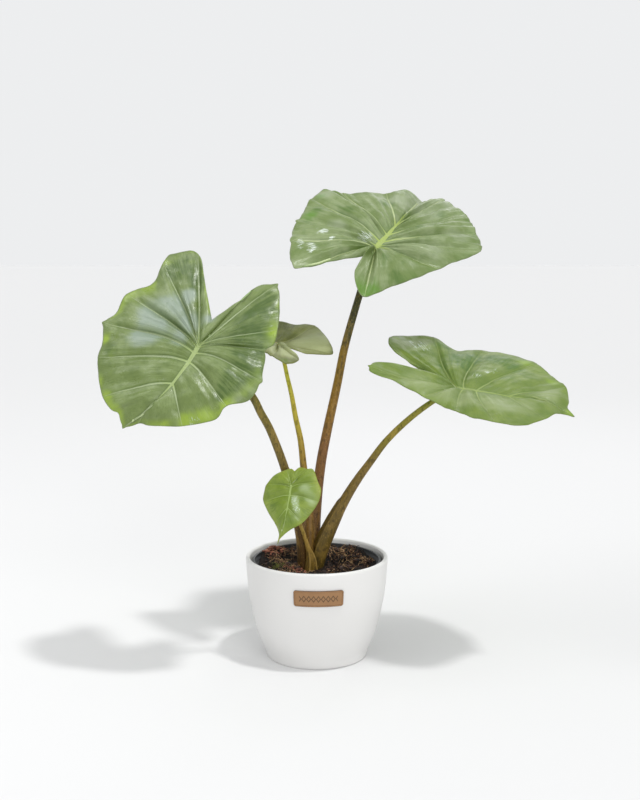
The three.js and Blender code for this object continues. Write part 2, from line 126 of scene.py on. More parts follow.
# name, place, size, power in watts
PANELS = [
    ("panel_left", (-0.75, -0.3, 1.4), 0.6, 4),
    ("panel_back", (0.4, 1.3, 1.2), 0.5, 1.2),
]

sky = bpy.data.worlds.new("sky")
sky.use_nodes = True
net = sky.node_tree
backdrop = net.nodes["Background"]
backdrop.inputs["Color"].default_value = SKY_COLOUR
way_up = net.nodes.new("ShaderNodeSeparateXYZ")
fade = net.nodes.new("ShaderNodeMapRange")
fade.interpolation_type = "SMOOTHSTEP"
fade.inputs["From Min"].default_value, fade.inputs["From Max"].default_value = SKY_FADE
fade.inputs["To Min"].default_value = SKY_LOW
fade.inputs["To Max"].default_value = SKY_TOP
net.links.new(net.nodes.new("ShaderNodeTexCoord").outputs["Generated"], way_up.inputs["Vector"])
net.links.new(way_up.outputs["Z"], fade.inputs["Value"])
net.links.new(fade.outputs["Result"], backdrop.inputs["Strength"])
bpy.context.scene.world = sky


def hang_lamp(light, place, way):
    lamp = bpy.data.objects.new(light.name, light)
    lamp.location = place
    lamp.rotation_euler = Vector(way).to_track_quat("-Z", "Y").to_euler()
    bpy.context.collection.objects.link(lamp)


for name, way, strength, width in SUNS:
    light = bpy.data.lights.new(name, "SUN")
    light.energy = strength
    light.angle = math.radians(width)
    hang_lamp(light, SUN_PLACE, way)
for name, place, size, power in PANELS:
    light = bpy.data.lights.new(name, "AREA")
    light.size = size
    light.energy = power
    hang_lamp(light, place, PANEL_TARGET - Vector(place))
bpy.context.scene.view_settings.view_transform = "Standard"
print(len(SUNS) + len(PANELS), "soft lights")

# %% [markdown]
# ## Short words for materials
#
# A material is a net of nodes. Written out in full, each one takes a screen of code, and could be
# made faster by hand in the editor. Here a small class gives every kind of node a one line call.
# The patterns read Object coordinates, which are metres on the real plant, or attributes that are
# stored on the leaf, so they stay on the surface when it is seen from another side.

# %% Finish
class Finish:
    """A material's node net with one short call for each kind of node."""

    def __init__(self, name, roughness, **fixed):
        self.material = bpy.data.materials.new(name)
        self.material.use_nodes = True
        self.tree = self.material.node_tree
        self.shader = self.tree.nodes["Principled BSDF"]
        self.shader.inputs["Roughness"].default_value = roughness
        for socket, value in fixed.items():
            title = socket.replace("_", " ").title().replace("Ior", "IOR")
            self.shader.inputs[title].default_value = value
        self.place = self.tree.nodes.new("ShaderNodeTexCoord").outputs["Object"]

    def node(self, kind, *inputs, **settings):
        made = self.tree.nodes.new("ShaderNode" + kind)
        for key, value in settings.items():
            setattr(made, key, value)
        for socket, value in inputs:
            target = made.inputs[socket]
            if isinstance(value, bpy.types.NodeSocket):
                self.tree.links.new(value, target)
            else:
                target.default_value = value
        return made

    def attribute(self, name):
        return self.node("Attribute", attribute_name=name).outputs["Fac"]

    def scaled(self, x, y, z):
        return self.node("Mapping", ("Vector", self.place), ("Scale", (x, y, z))).outputs["Vector"]

    def noise(self, scale, detail=3, vector=None, rough=0.55):
        made = self.node(
            "TexNoise",
            ("Vector", self.place if vector is None else vector),
            ("Scale", scale),
            ("Detail", detail),
            ("Roughness", rough),
        )
        return made.outputs["Fac"]

    def math(self, operation, a, b=0.0):
        return self.node("Math", (0, a), (1, b), operation=operation).outputs[0]

    def plus(self, a, b):
        return self.math("ADD", a, b)

    def times(self, a, b):
        return self.math("MULTIPLY", a, b)

    def range(self, value, low, high, to_low=0.0, to_high=1.0):
        made = self.node(
            "MapRange",
            ("Value", value),
            ("From Min", low),
            ("From Max", high),
            ("To Min", to_low),
            ("To Max", to_high),
            interpolation_type="SMOOTHSTEP",
        )
        return made.outputs["Result"]

    def mix(self, share, a, b, way="MIX"):
        colours = [c if isinstance(c, bpy.types.NodeSocket) else (*c, 1) for c in (a, b)]
        inputs = [(0, share), (6, colours[0]), (7, colours[1])]
        return self.node("Mix", *inputs, data_type="RGBA", blend_type=way).outputs[2]

    def colour(self, value):
        self.tree.links.new(value, self.shader.inputs["Base Color"])

    def roughness(self, value):
        self.tree.links.new(value, self.shader.inputs["Roughness"])

    def bump(self, height, strength, distance):
        made = self.node("Bump", ("Height", height), ("Strength", strength), ("Distance", distance))
        self.tree.links.new(made.outputs["Normal"], self.shader.inputs["Normal"])


def from_hex(code):
    """A linear colour from the six digits that a paint program shows."""
    parts = [int(code[i : i + 2], 16) / 255 for i in (0, 2, 4)]
    return tuple(c / 12.92 if c < 0.04045 else ((c + 0.055) / 1.055) ** 2.4 for c in parts)


def show(bm, name, node, finishes, smooth=True):
    """Turns a bmesh in millimetres into a piece in metres, which can stand for a CAD node."""
    bmesh.ops.scale(bm, vec=(MM, MM, MM), verts=bm.verts)
    mesh = bpy.data.meshes.new(name)
    bm.to_mesh(mesh)
    bm.free()
    for finish in finishes:
        mesh.materials.append(finish)
    mesh.polygons.foreach_set("use_smooth", [smooth] * len(mesh.polygons))
    piece = bpy.data.objects.new(name, mesh)
    bpy.context.collection.objects.link(piece)
    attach(piece, "root")
    if node:
        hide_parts(node)
    print(name, len(mesh.polygons), "faces")
    return piece


print("white is", from_hex("ffffff"))

# %% [markdown]
# ## The outer pot
#
# The pot is a turned shape: glazed, widest at the rim, with a belly that draws in to a small
# foot. A potter makes it on a wheel, and the Spin operator works the same way, by sweeping one
# profile round an axis. The profile here is a smooth curve through a few measured radii. A tall
# stack of scaled circles would give the same pot, but then the lip and the foot ring would each
# need a loop of their own, where in a profile they are two more points.

# %% Curves and turned pieces
def through(rows, t):
    """Smooth curve through rows of numbers at row position t, column by column."""
    i = min(int(t), len(rows) - 2)
    f = t - i
    b = rows[i]
    c = rows[i + 1]
    a = rows[i - 1] if i > 0 else [2 * x - y for x, y in zip(b, c)]
    d = rows[i + 2] if i < len(rows) - 2 else [2 * x - y for x, y in zip(c, b)]
    return [
        q
        + 0.5
        * ((r - p) * f + (2 * p - 5 * q + 4 * r - s) * f**2 + (3 * q - p - 3 * r + s) * f**3)
        for p, q, r, s in zip(a, b, c, d)
    ]


def curved(rows, steps):
    return [through(rows, (len(rows) - 1) * i / steps) for i in range(steps + 1)]


def arc(middle, radius, start, end, steps):
    """Points of an arc in a profile, with angles in degrees from the outward direction."""
    angles = [math.radians(start + (end - start) * i / steps) for i in range(steps + 1)]
    return [(middle[0] + radius * math.cos(a), middle[1] + radius * math.sin(a)) for a in angles]


def turned(profile, sides):
    """A closed piece that turns a profile of (radius, height) pairs round Z, axis to axis."""
    bm = bmesh.new()
    points = [bm.verts.new((radius, 0, height)) for radius, height in profile]
    edges = [bm.edges.new(pair) for pair in zip(points, points[1:])]
    bmesh.ops.spin(
        bm,
        geom=points + edges,
        axis=(0, 0, 1),
        cent=(0, 0, 0),
        angle=2 * math.pi,
        steps=sides,
        use_merge=True,
    )
    bmesh.ops.remove_doubles(bm, verts=bm.verts, dist=1e-4)
    bmesh.ops.recalc_face_normals(bm, faces=bm.faces)
    return bm


# %% Outer pot
OUTER_FOOT = 49
OUTER_WALL = 4.2
OUTER_FLOOR = 6
OUTER_SIDES = 160
FOOT_RING = 5  # width of the ring that the pot stands on
FOOT_HOLLOW = 1.2  # how high the floor stands clear inside that ring
COVE = 4  # radius of the corner between the wall and the floor
BELLY_STEPS = 36
OUTER_BELLY = [
    (50.3, 2.4),
    (52.2, 8.4),
    (56.6, 18.6),
    (60, 28.4),
    (63.8, 43.9),
    (66.8, 60),
    (68.8, 77),
    (70.2, 98.3),
]
LIP = OUTER_WALL / 2

belly = curved(OUTER_BELLY, BELLY_STEPS)
inside = [(r - OUTER_WALL, z) for r, z in reversed(belly) if z > OUTER_FLOOR + COVE]
outer_profile = [
    (0, FOOT_HOLLOW),
    (OUTER_FOOT - FOOT_RING - 1, FOOT_HOLLOW),
    (OUTER_FOOT - FOOT_RING, 0),
    (OUTER_FOOT, 0),
    (OUTER_FOOT + 0.5, 0.3),
    (OUTER_FOOT + 0.95, 0.9),
    *belly,
    *arc((belly[-1][0] - LIP, belly[-1][1]), LIP, 10, 170, 9),
    *inside,
    *arc((inside[-1][0] - COVE, OUTER_FLOOR + COVE), COVE, -10, -90, 5),
    (0, OUTER_FLOOR),
]
glaze = Finish("white_glaze", 0.33, coat_weight=0.25, coat_roughness=0.2)
cloud = glaze.noise(9, 2)
glaze.colour(glaze.mix(cloud, from_hex("dfdedc"), from_hex("d8d7d5")))
glaze.roughness(glaze.range(glaze.noise(30, 3), 0.2, 0.8, 0.3, 0.42))
glaze.bump(glaze.noise(45, 2), 0.12, 0.001)
show(turned(outer_profile, OUTER_SIDES), "outer_pot_glazed", "outer_pot", [glaze.material])

# %% [markdown]
# ## The nursery pot
#
# Inside stands the thin plastic pot that the plant was raised in. Only its rim shows, a flat band
# a little under the white lip, with a dark gap between the two. The pot is moulded, so its wall
# has one thickness all over. That makes it quick to build as a single skin: the profile is spun,
# the drain slots are cut by deleting faces of the floor, and the Solidify modifier adds the wall.

# %% Nursery pot
NURSERY_FOOT = 43
NURSERY_WALL = 1.4
NURSERY_BAND = 87
NURSERY_BAND_RADIUS = 60.5
NURSERY_RIM = 96.6
NURSERY_RIM_RADIUS = 63.8
NURSERY_RIM_WIDTH = 2.6
NURSERY_SIDES = 96
DRAIN_HOLES = 8
DRAIN_RING = (23.5, 32.5)  # inner and outer radius of the ring that the slots lie in
DRAIN_FACES = 3  # width of a slot, in faces of the floor
GAP = 0.3  # clearance between neighbouring pieces
WALL_STEPS = 24

nursery_floor = OUTER_FLOOR + GAP
wall_line = [
    (
        NURSERY_FOOT + (NURSERY_BAND_RADIUS - NURSERY_FOOT) * i / WALL_STEPS,
        nursery_floor + (NURSERY_BAND - nursery_floor) * i / WALL_STEPS,
    )
    for i in range(WALL_STEPS + 1)
]
nursery_profile = [
    (0, nursery_floor),
    (DRAIN_RING[0], nursery_floor),
    (DRAIN_RING[1], nursery_floor),
    (NURSERY_FOOT - 1.5, nursery_floor),
    *[(r, z) for r, z in wall_line if z > nursery_floor + 1],
    (NURSERY_RIM_RADIUS - 0.8, NURSERY_BAND + 0.1),
    (NURSERY_RIM_RADIUS, NURSERY_BAND + 0.9),
    (NURSERY_RIM_RADIUS, NURSERY_RIM - 0.7),
    (NURSERY_RIM_RADIUS - 0.7, NURSERY_RIM),
    (NURSERY_RIM_RADIUS - NURSERY_RIM_WIDTH + 0.3, NURSERY_RIM),
    (NURSERY_RIM_RADIUS - NURSERY_RIM_WIDTH, NURSERY_RIM - 0.4),
]
bm = turned(nursery_profile, NURSERY_SIDES)
slots = []
for face in bm.faces:
    middle = face.calc_center_median()
    flat = abs(middle.z - nursery_floor) < 0.01
    turn = math.degrees(math.atan2(middle.y, middle.x)) % 360
    step = int(turn / (360 / NURSERY_SIDES)) % (NURSERY_SIDES // DRAIN_HOLES)
    if flat and DRAIN_RING[0] < middle.to_2d().length < DRAIN_RING[1] and step < DRAIN_FACES:
        slots.append(face)
bmesh.ops.delete(bm, geom=slots, context="FACES")
plastic = Finish("nursery_plastic", 0.5)
scuffs = plastic.noise(160, 4)
plastic.colour(plastic.mix(scuffs, from_hex("38393a"), from_hex("555759")))
plastic.roughness(plastic.range(scuffs, 0.3, 0.7, 0.4, 0.6))
plastic.bump(plastic.noise(900, 2), 0.15, 0.0005)
nursery = show(bm, "nursery_pot_moulded", "nursery_pot", [plastic.material])
wall = nursery.modifiers.new("wall", "SOLIDIFY")
wall.thickness = NURSERY_WALL * MM
wall.offset = -1
print("drain slots:", len(slots) // DRAIN_FACES)

# %% [markdown]
# ## The name plate
#
# A small brown card with round corners is glued to the front of the pot and bends with it. A flat
# card is easy to draw, so it is made flat first and bent last. Its outline is a circle of points
# pulled out to four corners. The front gets its edge by insetting the face three times, for a
# bevel, a flat band and a step down. Then plane cuts slice the card into strips, because a face
# can only bend where it has an edge, and every point is moved onto the pot's belly.

# %% Name plate
PLATE_SIZE = (46.4, 15.6)
PLATE_CORNER = 2.2
PLATE_THICK = 1.3
PLATE_MIDDLE = (1.8, 76.4)
PLATE_EASE = 0.35  # how far its front edge is bevelled
PLATE_RIM = 0.9  # width of the flat band along that edge
PLATE_DROP = 0.25  # how far the field inside the band lies below it
PLATE_ROUND = 48  # points of the outline
PLATE_STRIPS = 48
PLATE_ROWS = 8


def belly_radius(height):
    """Radius of the outer pot at a height, between two points of its belly."""
    for (r0, z0), (r1, z1) in zip(belly, belly[1:]):
        if z0 <= height <= z1:
            return r0 + (r1 - r0) * (height - z0) / (z1 - z0)
    return belly[-1][0]


def cut_into_strips(bm, way, size, count):
    """Slices a mesh by planes that stand square to a way."""
    for strip in range(1, count):
        place = size * (strip / count - 0.5) * Vector(way)
        everything = bm.verts[:] + bm.edges[:] + bm.faces[:]
        bmesh.ops.bisect_plane(bm, geom=everything, dist=1e-5, plane_co=place, plane_no=way)


bm = bmesh.new()
circle = bmesh.ops.create_circle(bm, cap_ends=True, segments=PLATE_ROUND, radius=PLATE_CORNER)
for vert in circle["verts"]:
    vert.co.x += math.copysign(PLATE_SIZE[0] / 2 - PLATE_CORNER, vert.co.x)
    vert.co.y += math.copysign(PLATE_SIZE[1] / 2 - PLATE_CORNER, vert.co.y)
face = bm.faces[:][0]
raised = bmesh.ops.extrude_face_region(bm, geom=[face])
top = [g for g in raised["geom"] if isinstance(g, bmesh.types.BMFace)]
bmesh.ops.translate(bm, vec=(0, 0, PLATE_THICK - PLATE_EASE), verts=top[0].verts)
bmesh.ops.inset_region(bm, faces=top, thickness=PLATE_EASE, depth=PLATE_EASE)
bmesh.ops.inset_region(bm, faces=top, thickness=PLATE_RIM, depth=0)
bmesh.ops.inset_region(bm, faces=top, thickness=PLATE_DROP, depth=-PLATE_DROP)
bmesh.ops.recalc_face_normals(bm, faces=bm.faces)
cut_into_strips(bm, (1, 0, 0), PLATE_SIZE[0], PLATE_STRIPS)
cut_into_strips(bm, (0, 1, 0), PLATE_SIZE[1], PLATE_ROWS)
for face in bm.faces:
    face.material_index = 0 if abs(face.normal.z) > 0.9 else 1
for vert in bm.verts:
    height = PLATE_MIDDLE[1] + vert.co.y
    radius = belly_radius(height) + GAP + vert.co.z
    turn = math.asin((PLATE_MIDDLE[0] + vert.co.x) / (belly_radius(PLATE_MIDDLE[1]) + GAP))
    vert.co = (radius * math.sin(turn), -radius * math.cos(turn), height)
print("plate cut into", len(bm.faces), "faces")

# %% [markdown]
# The card is brown and a little blotched, and a plain row of lozenges is pressed into it. A
# picture could carry the row, but it would blur from close by. Here the row is worked out from
# the place on the plate: the distance to the nearest middle of a lozenge and the distance to the
# middle line add up, and where the sum is near one value lies the outline.

# %% Card finish
LOZENGE = (4.6, 6.6, 18.4)  # width, height and half length of the row
LOZENGE_LINE = 0.42  # the sum at the outline, where 0.5 is half way to the next lozenge

card = Finish("brown_card", 0.62)
grain = card.noise(700, 4)
blotch = card.noise(90, 3)
tone = card.mix(blotch, from_hex("98714a"), from_hex("845f3c"))
tone = card.mix(card.times(grain, 0.3), tone, from_hex("b48d60"))
axes = card.node("SeparateXYZ", ("Vector", card.place)).outputs
across = card.math("SUBTRACT", axes["X"], PLATE_MIDDLE[0] * MM)
wave = card.math("PINGPONG", card.plus(across, LOZENGE[0] / 2 * MM), LOZENGE[0] * MM)
off_middle = card.math("ABSOLUTE", card.math("SUBTRACT", wave, LOZENGE[0] / 2 * MM))
lean = card.math("DIVIDE", off_middle, LOZENGE[0] * MM)
rise = card.math("ABSOLUTE", card.math("SUBTRACT", axes["Z"], PLATE_MIDDLE[1] * MM))
band = card.plus(lean, card.math("DIVIDE", rise, LOZENGE[1] * MM))
outline = card.math("ABSOLUTE", card.math("SUBTRACT", band, LOZENGE_LINE))
line = card.range(outline, 0.13, 0.06)
near = card.range(card.math("ABSOLUTE", across), LOZENGE[2] * MM, (LOZENGE[2] - 0.3) * MM)
mark = card.times(line, near)
card.colour(card.mix(card.times(mark, 0.85), tone, from_hex("3a2614")))
card.bump(card.math("SUBTRACT", grain, mark), 0.35, 0.0003)
# Painted shade: the card's cut edges are dark brown, for the shade along them.
card_edge_shade = Finish("card_edge_painted_shade", 0.7)
card_edge_shade.colour(card_edge_shade.mix(card_edge_shade.noise(800, 3), from_hex("4a3320"), from_hex("6b4d31")))
show(bm, "name_plate_card", "name_plate", [card.material, card_edge_shade.material], smooth=False)

# %% [markdown]
# ## A leaf blade
#
# A blade is thin and shield shaped, with a notch where the stalk joins it. One broad rib runs to
# the tip, strong side veins fan out from it and from the hub, and the green between two veins
# puffs up like a quilt. It could be sculpted, or cut from a plane and pushed about, but then the
# veins would have to be drawn on by eye. Here a flat grid is bent by a rule instead. One
# direction of the grid runs round the margin and the other runs out from the midrib, so that the
# veins are grid lines. The rule needs the margin alone, as a short list of where each vein and
# each bay between two veins meets it.

# %% [markdown]
# Every leaf is described in millimetres. hub is where the stalk meets the blade, midrib the way
# the rib runs and upside the way the top faces. A row of the margin says where its ray leaves the
# midrib, then its place along and across the midrib and its lift, for one side and for the other.
# Odd rows are bays, and even rows, from 2 on, are the ends of veins. arch and bend are how far
# the midrib drops and bends aside in 100 mm, puff is the height of the quilt, fold is how much the
# green ripples along its veins, and sweep is how far the veins bow to the base. grooves are (side,
# row, depth) of deep veins, and points are (side or 0 for both, row, along, across, width in
# rows) of places where the margin is drawn out or in. patches are (along, across, radius) of the
# waxy places with a painted sheen, of the lime and deep green places, and of painted glints.

# %% [markdown]
# The left leaf hangs steeply and faces the viewer. Three side veins of one half lie in deep
# creases, and it has the most patches of colour.

# %% Left leaf
LEAVES = {}
LEAVES["left"] = dict(
    hub=(-107, -70, 314),
    midrib=(-0.42, -0.5, -0.755),
    upside=(-0.16, -0.78, 0.6),
    arch=16,
    bend=-32,
    puff=3.4,
    fold=1.6,
    sweep=0.05,
    grooves=[(1, 4, 2.6), (1, 6, 3.0), (1, 2, 1.8)],
    points=[
        (0, 14, 2, 0, 0.12), (0, 13.3, -4, 0, 0.3), (2, 2, -3, 2, 0.1), (2, 1.55, -4, -4.5, 0.36),
        (1, 8, 0, -2.5, 0.16), (2, 8, 1, 2.5, 0.16),
    ],
    patches={
        "wax_and_sheen": [
            (-18, -19, 14), (-32, -42, 15), (-18, -62, 17), (0, -45, 14), (11, -58, 13),
            (-46, -34, 8), (-30, -2, 6), (-44, 0, 6), (-58, 3, 6), (2, -20, 8),
        ],
        "lime": [
            (21, -92, 7), (62, -78, 8), (76, -62, 10), (84, -46, 8), (70, 20, 9), (60, 38, 12),
            (44, 52, 8), (-39, 58, 7), (-5, -98, 6), (-96, -58, 6), (80, 4, 6),
        ],
        "deep": [
            (30, -80, 9), (-64, -64, 14), (-80, -56, 12), (-58, -30, 12), (-72, -38, 12),
            (-58, 40, 16), (-70, 36, 10), (-40, 38, 15), (-24, 34, 15), (-26, 54, 14),
            (0, 44, 15), (4, 60, 12), (20, 46, 13), (36, 40, 10), (90, -22, 8), (-22, -92, 7),
        ],
        "painted_glint": [(-42, 56, 4), (70, 30, 7)],
    },
    margin=[
        (0, (-30, -2, 0), (-30, -2, 0)),
        (0, (-56, -21, 2), (-58, 15, 0)),
        (0, (-92, -50, 0), (-85, 36, -4)),
        (0, (-86, -75, -2), (-64, 51, -4)),
        (0, (-70, -76, 2), (-42, 60, -3)),
        (1, (-47, -78, -2), (-28, 63, -5)),
        (2, (-29, -95, 0), (-19, 59, -4)),
        (4, (-7, -96, -3), (-11, 62, -7)),
        (8, (6, -101, -3), (10, 68, -5)),
        (12, (24, -93, -5), (29, 66, -9)),
        (18, (41, -88, -4), (44, 50, -7)),
        (28, (57, -79, -8), (58, 44, -11)),
        (42, (74, -65, -9), (74, 19, -11)),
        (56, (84, -49, -13), (85, -14, -15)),
        (76, (92, -34, -16), (92, -34, -16)),
    ],
)
print("left leaf:", len(LEAVES["left"]["margin"]), "rows")

# %% [markdown]
# The top leaf is the largest. Its face tips towards the viewer, and it has the strongest folds.

# %% Top leaf
LEAVES["top"] = dict(
    hub=(58, 30, 401),
    midrib=(0.43, 0.79, 0.44),
    upside=(0.13, -0.53, 0.83),
    arch=12,
    bend=4,
    puff=4.2,
    fold=4.4,
    sweep=-0.06,
    grooves=[(1, 2, 1.5), (2, 2, 1.5), (2, 4, 1.5), (2, 6, 1.5), (1, 6, 1.5)],
    points=[(1, 4, -3, 1, 0.2), (1, 2, -3, -1, 0.2), (2, 12, 2, -2, 0.2), (1, 6, -2, 2, 0.2)],
    patches={
        "wax_and_sheen": [
            (101, -14, 20), (73, -60, 16), (31, -50, 12), (64, 84, 12), (10, 48, 12),
            (140, -20, 20), (110, 20, 16),
        ],
        "lime": [(-66, -10, 18), (-56, -20, 16), (16, 80, 9), (60, 88, 7)],
        "deep": [
            (25, 77, 10), (43, 52, 14), (92, 27, 12), (105, -28, 10), (62, -22, 8),
            (-25, -33, 10), (-13, -15, 8), (4, 78, 8),
        ],
        "painted_glint": [
            (-14, 42, 6), (-12, 50, 6), (-9, 58, 5), (-42, 51, 6), (-38, 59, 7), (-34, 67, 6),
            (-66, -22, 8), (-58, -32, 9), (8, 15, 9),
        ],
    },
    margin=[
        (0, (-21, 5, 0), (-21, 5, 0)),
        (0, (-48, 31, -2), (-45, 2, -6)),
        (0, (-70, 53, -4), (-57, -16, -16)),
        (0, (-55, 67, -4), (-34, -35, -12)),
        (0, (-35, 75, -2), (15, -63, -6)),
        (1, (-13, 85, -4), (41, -76, -6)),
        (3, (1, 86, -2), (63, -88, -3)),
        (6, (26, 91, -4), (82, -83, -5)),
        (12, (48, 95, -3), (98, -72, -3)),
        (20, (78, 92, -5), (116, -61, -6)),
        (30, (85, 74, -6), (130, -49, -6)),
        (42, (106, 58, -9), (143, -33, -10)),
        (54, (119, 38, -10), (151, -15, -12)),
        (68, (147, 28, -14), (156, -6, -18)),
        (84, (172, 8, -36), (172, 8, -36)),
    ],
)
print("top leaf:", len(LEAVES["top"]["margin"]), "rows")

# %% [markdown]
# The right leaf lies nearly level. Its margin ends in a thin, drawn out tip.

# %% Right leaf
LEAVES["right"] = dict(
    hub=(134, -25, 270),
    midrib=(0.955, -0.275, -0.11),
    upside=(0.023, -0.3, 0.954),
    arch=8,
    bend=8,
    puff=3.2,
    fold=1.5,
    sweep=0.04,
    grooves=[(1, 4, 2.2), (1, 2, 1.8), (1, 6, 1.5)],
    points=[
        (0, 11.5, -4, 0, 0.34), (2, 2, -2, 1, 0.06), (2, 1.5, -3, 2, 0.3), (2, 2.5, -8, -3, 0.3),
    ],
    patches={
        "wax_and_sheen": [
            (-72, 58, 12), (-60, 66, 12), (-48, 72, 12), (-60, 20, 12), (8, 22, 5), (19, 36, 7),
            (31, 52, 6), (-40, -12, 16), (-14, -20, 18), (14, -26, 18), (40, -24, 20),
            (62, -18, 18), (84, 10, 14), (84, 30, 12),
        ],
        "lime": [(-78, 72, 6), (52, 80, 9), (84, 48, 8), (106, 2, 6)],
        "deep": [
            (-14, 62, 16), (4, 76, 16), (-4, 48, 10), (-22, 34, 9), (30, 76, 16), (46, 60, 12),
            (-34, 84, 12), (40, 34, 10),
        ],
        "painted_glint": [(-60, 70, 8), (-50, 66, 8), (12, 26, 5), (20, 35, 6), (27, 44, 5)],
    },
    margin=[
        (0, (-39, 18, 4), (-39, 18, 4)),
        (0, (-62, 32, 10), (-63, 5, 14)),
        (0, (-82, 54, 14), (-80, -24, 22)),
        (0, (-80, 81, 12), (-54, -23, 8)),
        (0, (-45, 96, 8), (-27, -30, 0)),
        (2, (-21, 96, -1), (-8, -40, -1)),
        (6, (5, 100, 0), (8, -49, 0)),
        (12, (35, 101, -1), (27, -57, -1)),
        (18, (63, 85, 0), (45, -59, 0)),
        (32, (85, 60, -2), (69, -54, -2)),
        (48, (98, 43, -3), (87, -31, -3)),
        (62, (104, 20, -6), (98, -9, -6)),
        (80, (112, 1, -12), (112, 1, -12)),
    ],
)
print("right leaf:", len(LEAVES["right"]["margin"]), "rows")

# %% [markdown]
# The back leaf is small, and the left one covers a part of it. That part follows the same rule.

# %% Back leaf
LEAVES["back"] = dict(
    hub=(-39, 25, 308),
    midrib=(-0.86, 0.45, 0.26),
    upside=(0.126, -0.3, 0.945),
    arch=14,
    bend=0,
    puff=2.2,
    fold=1,
    sweep=0.04,
    grooves=[(2, 2, 1), (1, 4, 1)],
    points=[(0, 10, 4, 0, 0.2), (2, 2, -3, 1, 0.25)],
    patches={
        "wax_and_sheen": [
            (-18, -14, 12), (-34, -26, 16), (-18, -36, 14), (-28, 20, 18), (-14, 24, 12),
            (-6, 4, 9), (-22, -48, 12),
        ],
        "lime": [(-34, 44, 8), (6, -50, 6)],
        "deep": [(12, -40, 16), (26, -20, 14), (10, 26, 12), (-50, -26, 6)],
        "painted_glint": [],
    },
    margin=[
        (0, (-12, 1, 0), (-12, 1, 0)),
        (0, (-31, 16, 4), (-33, -3, -1)),
        (0, (-42, 30, 6), (-47, -25, -2)),
        (0, (-39, 47, 7), (-39, -37, 2)),
        (0, (-22, 45, 8), (-8, -58, 5)),
        (2, (-8, 39, 6), (9, -47, 5)),
        (6, (13, 34, 7), (22, -37, 6)),
        (16, (33, 25, 2), (41, -31, 1)),
        (28, (52, 14, -2), (56, -20, -2)),
        (40, (64, 6, -7), (65, -11, -7)),
        (52, (75, 0, -10), (75, 0, -10)),
    ],
)
print("back leaf:", len(LEAVES["back"]["margin"]), "rows")

# %% [markdown]
# The young leaf is small, bright and hardly folded, so it needs fewer rows than the large ones.

# %% Young leaf
LEAVES["young"] = dict(
    hub=(-24, -45, 180),
    midrib=(-0.14, -0.4, -0.91),
    upside=(-0.3, -0.85, 0.42),
    arch=8,
    bend=-10,
    puff=1.5,
    fold=0.9,
    sweep=0.05,
    grooves=[(1, 4, 0.6), (2, 6, 0.6)],
    points=[(0, 10, 3, 0, 0.14)],
    patches={
        "wax_and_sheen": [(11, 5, 4), (17, 7, 4), (23, 9, 4), (29, 11, 4), (2, 14, 7), (12, 22, 7)],
        "lime": [(55, -8, 8)],
        "deep": [(14, 13, 6), (24, 19, 6), (32, 4, 8), (20, -16, 9)],
        "painted_glint": [(14, 6, 4), (22, 9, 4)],
    },
    margin=[
        (0, (-14, 1, 0), (-14, 1, 0)),
        (0, (-16, -2, 0), (-18, 6, 0)),
        (0, (-15, -7, 0), (-17, 13, 0)),
        (0, (-10, -18, -2), (-17, 19, -2)),
        (2, (0, -26, -3), (-6, 25, -3)),
        (5, (10, -28, -4), (2, 29, -4)),
        (10, (17, -27, -4), (13, 28, -4)),
        (16, (28, -20, -5), (23, 23, -5)),
        (22, (37, -12, -4), (34, 15, -4)),
        (28, (46, -7, -5), (43, 2, -5)),
        (36, (53, -7, -5), (53, -7, -5)),
    ],
)
print("young leaf:", len(LEAVES["young"]["margin"]), "rows")
print("leaves:", ", ".join(LEAVES))

# %% [markdown]
# The rule for one point of a blade takes t, which counts rows round the margin, and s, which
# goes from 0 on the midrib to 1 on the margin. It finds where the ray starts and ends, moves the
# point along it with a slight bow, and lifts it by the puff of the quilt. The puff is sharper at
# a vein than a plain wave would be, because a real vein lies in a crease.

# %% One point of a blade
BLADE_THICK = 0.9
BLADE_RIB = 1.7  # how much the midrib adds to it at the hub
SIDE_RIB = 0.5  # share of that which a side vein adds
RIB_FADE = 0.75  # share of it that is lost by the tip
LIFT_POWER = 1.6  # above 1 most of the lift comes near the margin
RING_POWER = 1.15  # above 1 the rings of points stand closer near the midrib
CREASE = 0.72  # below 1 the surface dips sharply into each vein
PUFF_GAIN = 1.25  # a fine blade can puff a little more than a faceted one
GROOVE_WIDTH = 0.2  # of a deep vein, in rows
LEAN = 0.5  # how much the puff of a bay leans to one of its veins, by turns to each side
SWELL = (1.3, 26)  # height and length of slow waves in the surface
PUCKER = (0.4, 8)  # the same for quick ones
CURL = 1.6  # how far the margin itself rolls up or down
CURL_FROM = 0.86  # share of the way out from which it rolls
CURL_WIDTH = 0.14  # the rest of the way
CURL_PACE = 0.9  # rolls in one row of the margin
BAY_SPREAD = 0.35  # how much higher or lower than the mean a bay can puff
PUFF_POWER = 0.8  # below 1 the puff is full over more of the way out
FOLD_PACE = (2.3, 1.3)  # folds in one row of the margin, and on the way out
FOLD_FADE = 0.4  # share of a fold that is lost on the way out
PEAK = 6.75  # makes s * (1 - s) ** 2 reach 1 where it is highest, a third of the way out


def midrib_point(leaf, root):
    far = (root / 100) ** 2
    return root, leaf["bend"] * far, -leaf["arch"] * far


def between_veins(t):
    """0 on a side vein and 1 half way between two of them."""
    if t < 2:
        return math.cos(math.pi * t / 4) ** 2
    return abs(math.sin(math.pi * t / 2)) ** CREASE


def puffed(leaf, side, t, s):
    """Height of the green between two veins, which stands a little differently in each bay."""
    bay = math.floor(t / 2)
    own = 1 + BAY_SPREAD * noise.cell(Vector((bay + 0.5, leaf["puff"], leaf["arch"])))
    skew = 1 + LEAN * (t / 2 - bay - 0.5) * (1 if bay % 2 else -1)
    rise = (4 * s * (1 - s)) ** PUFF_POWER
    height = PUFF_GAIN * leaf["puff"] * own * skew * between_veins(t) * rise
    for on, at, depth in leaf["grooves"]:
        if on == side:
            share = math.exp(-(((t - at) / GROOVE_WIDTH) ** 2))
            height -= depth * share * PEAK * s * (1 - s) ** 2
    return height


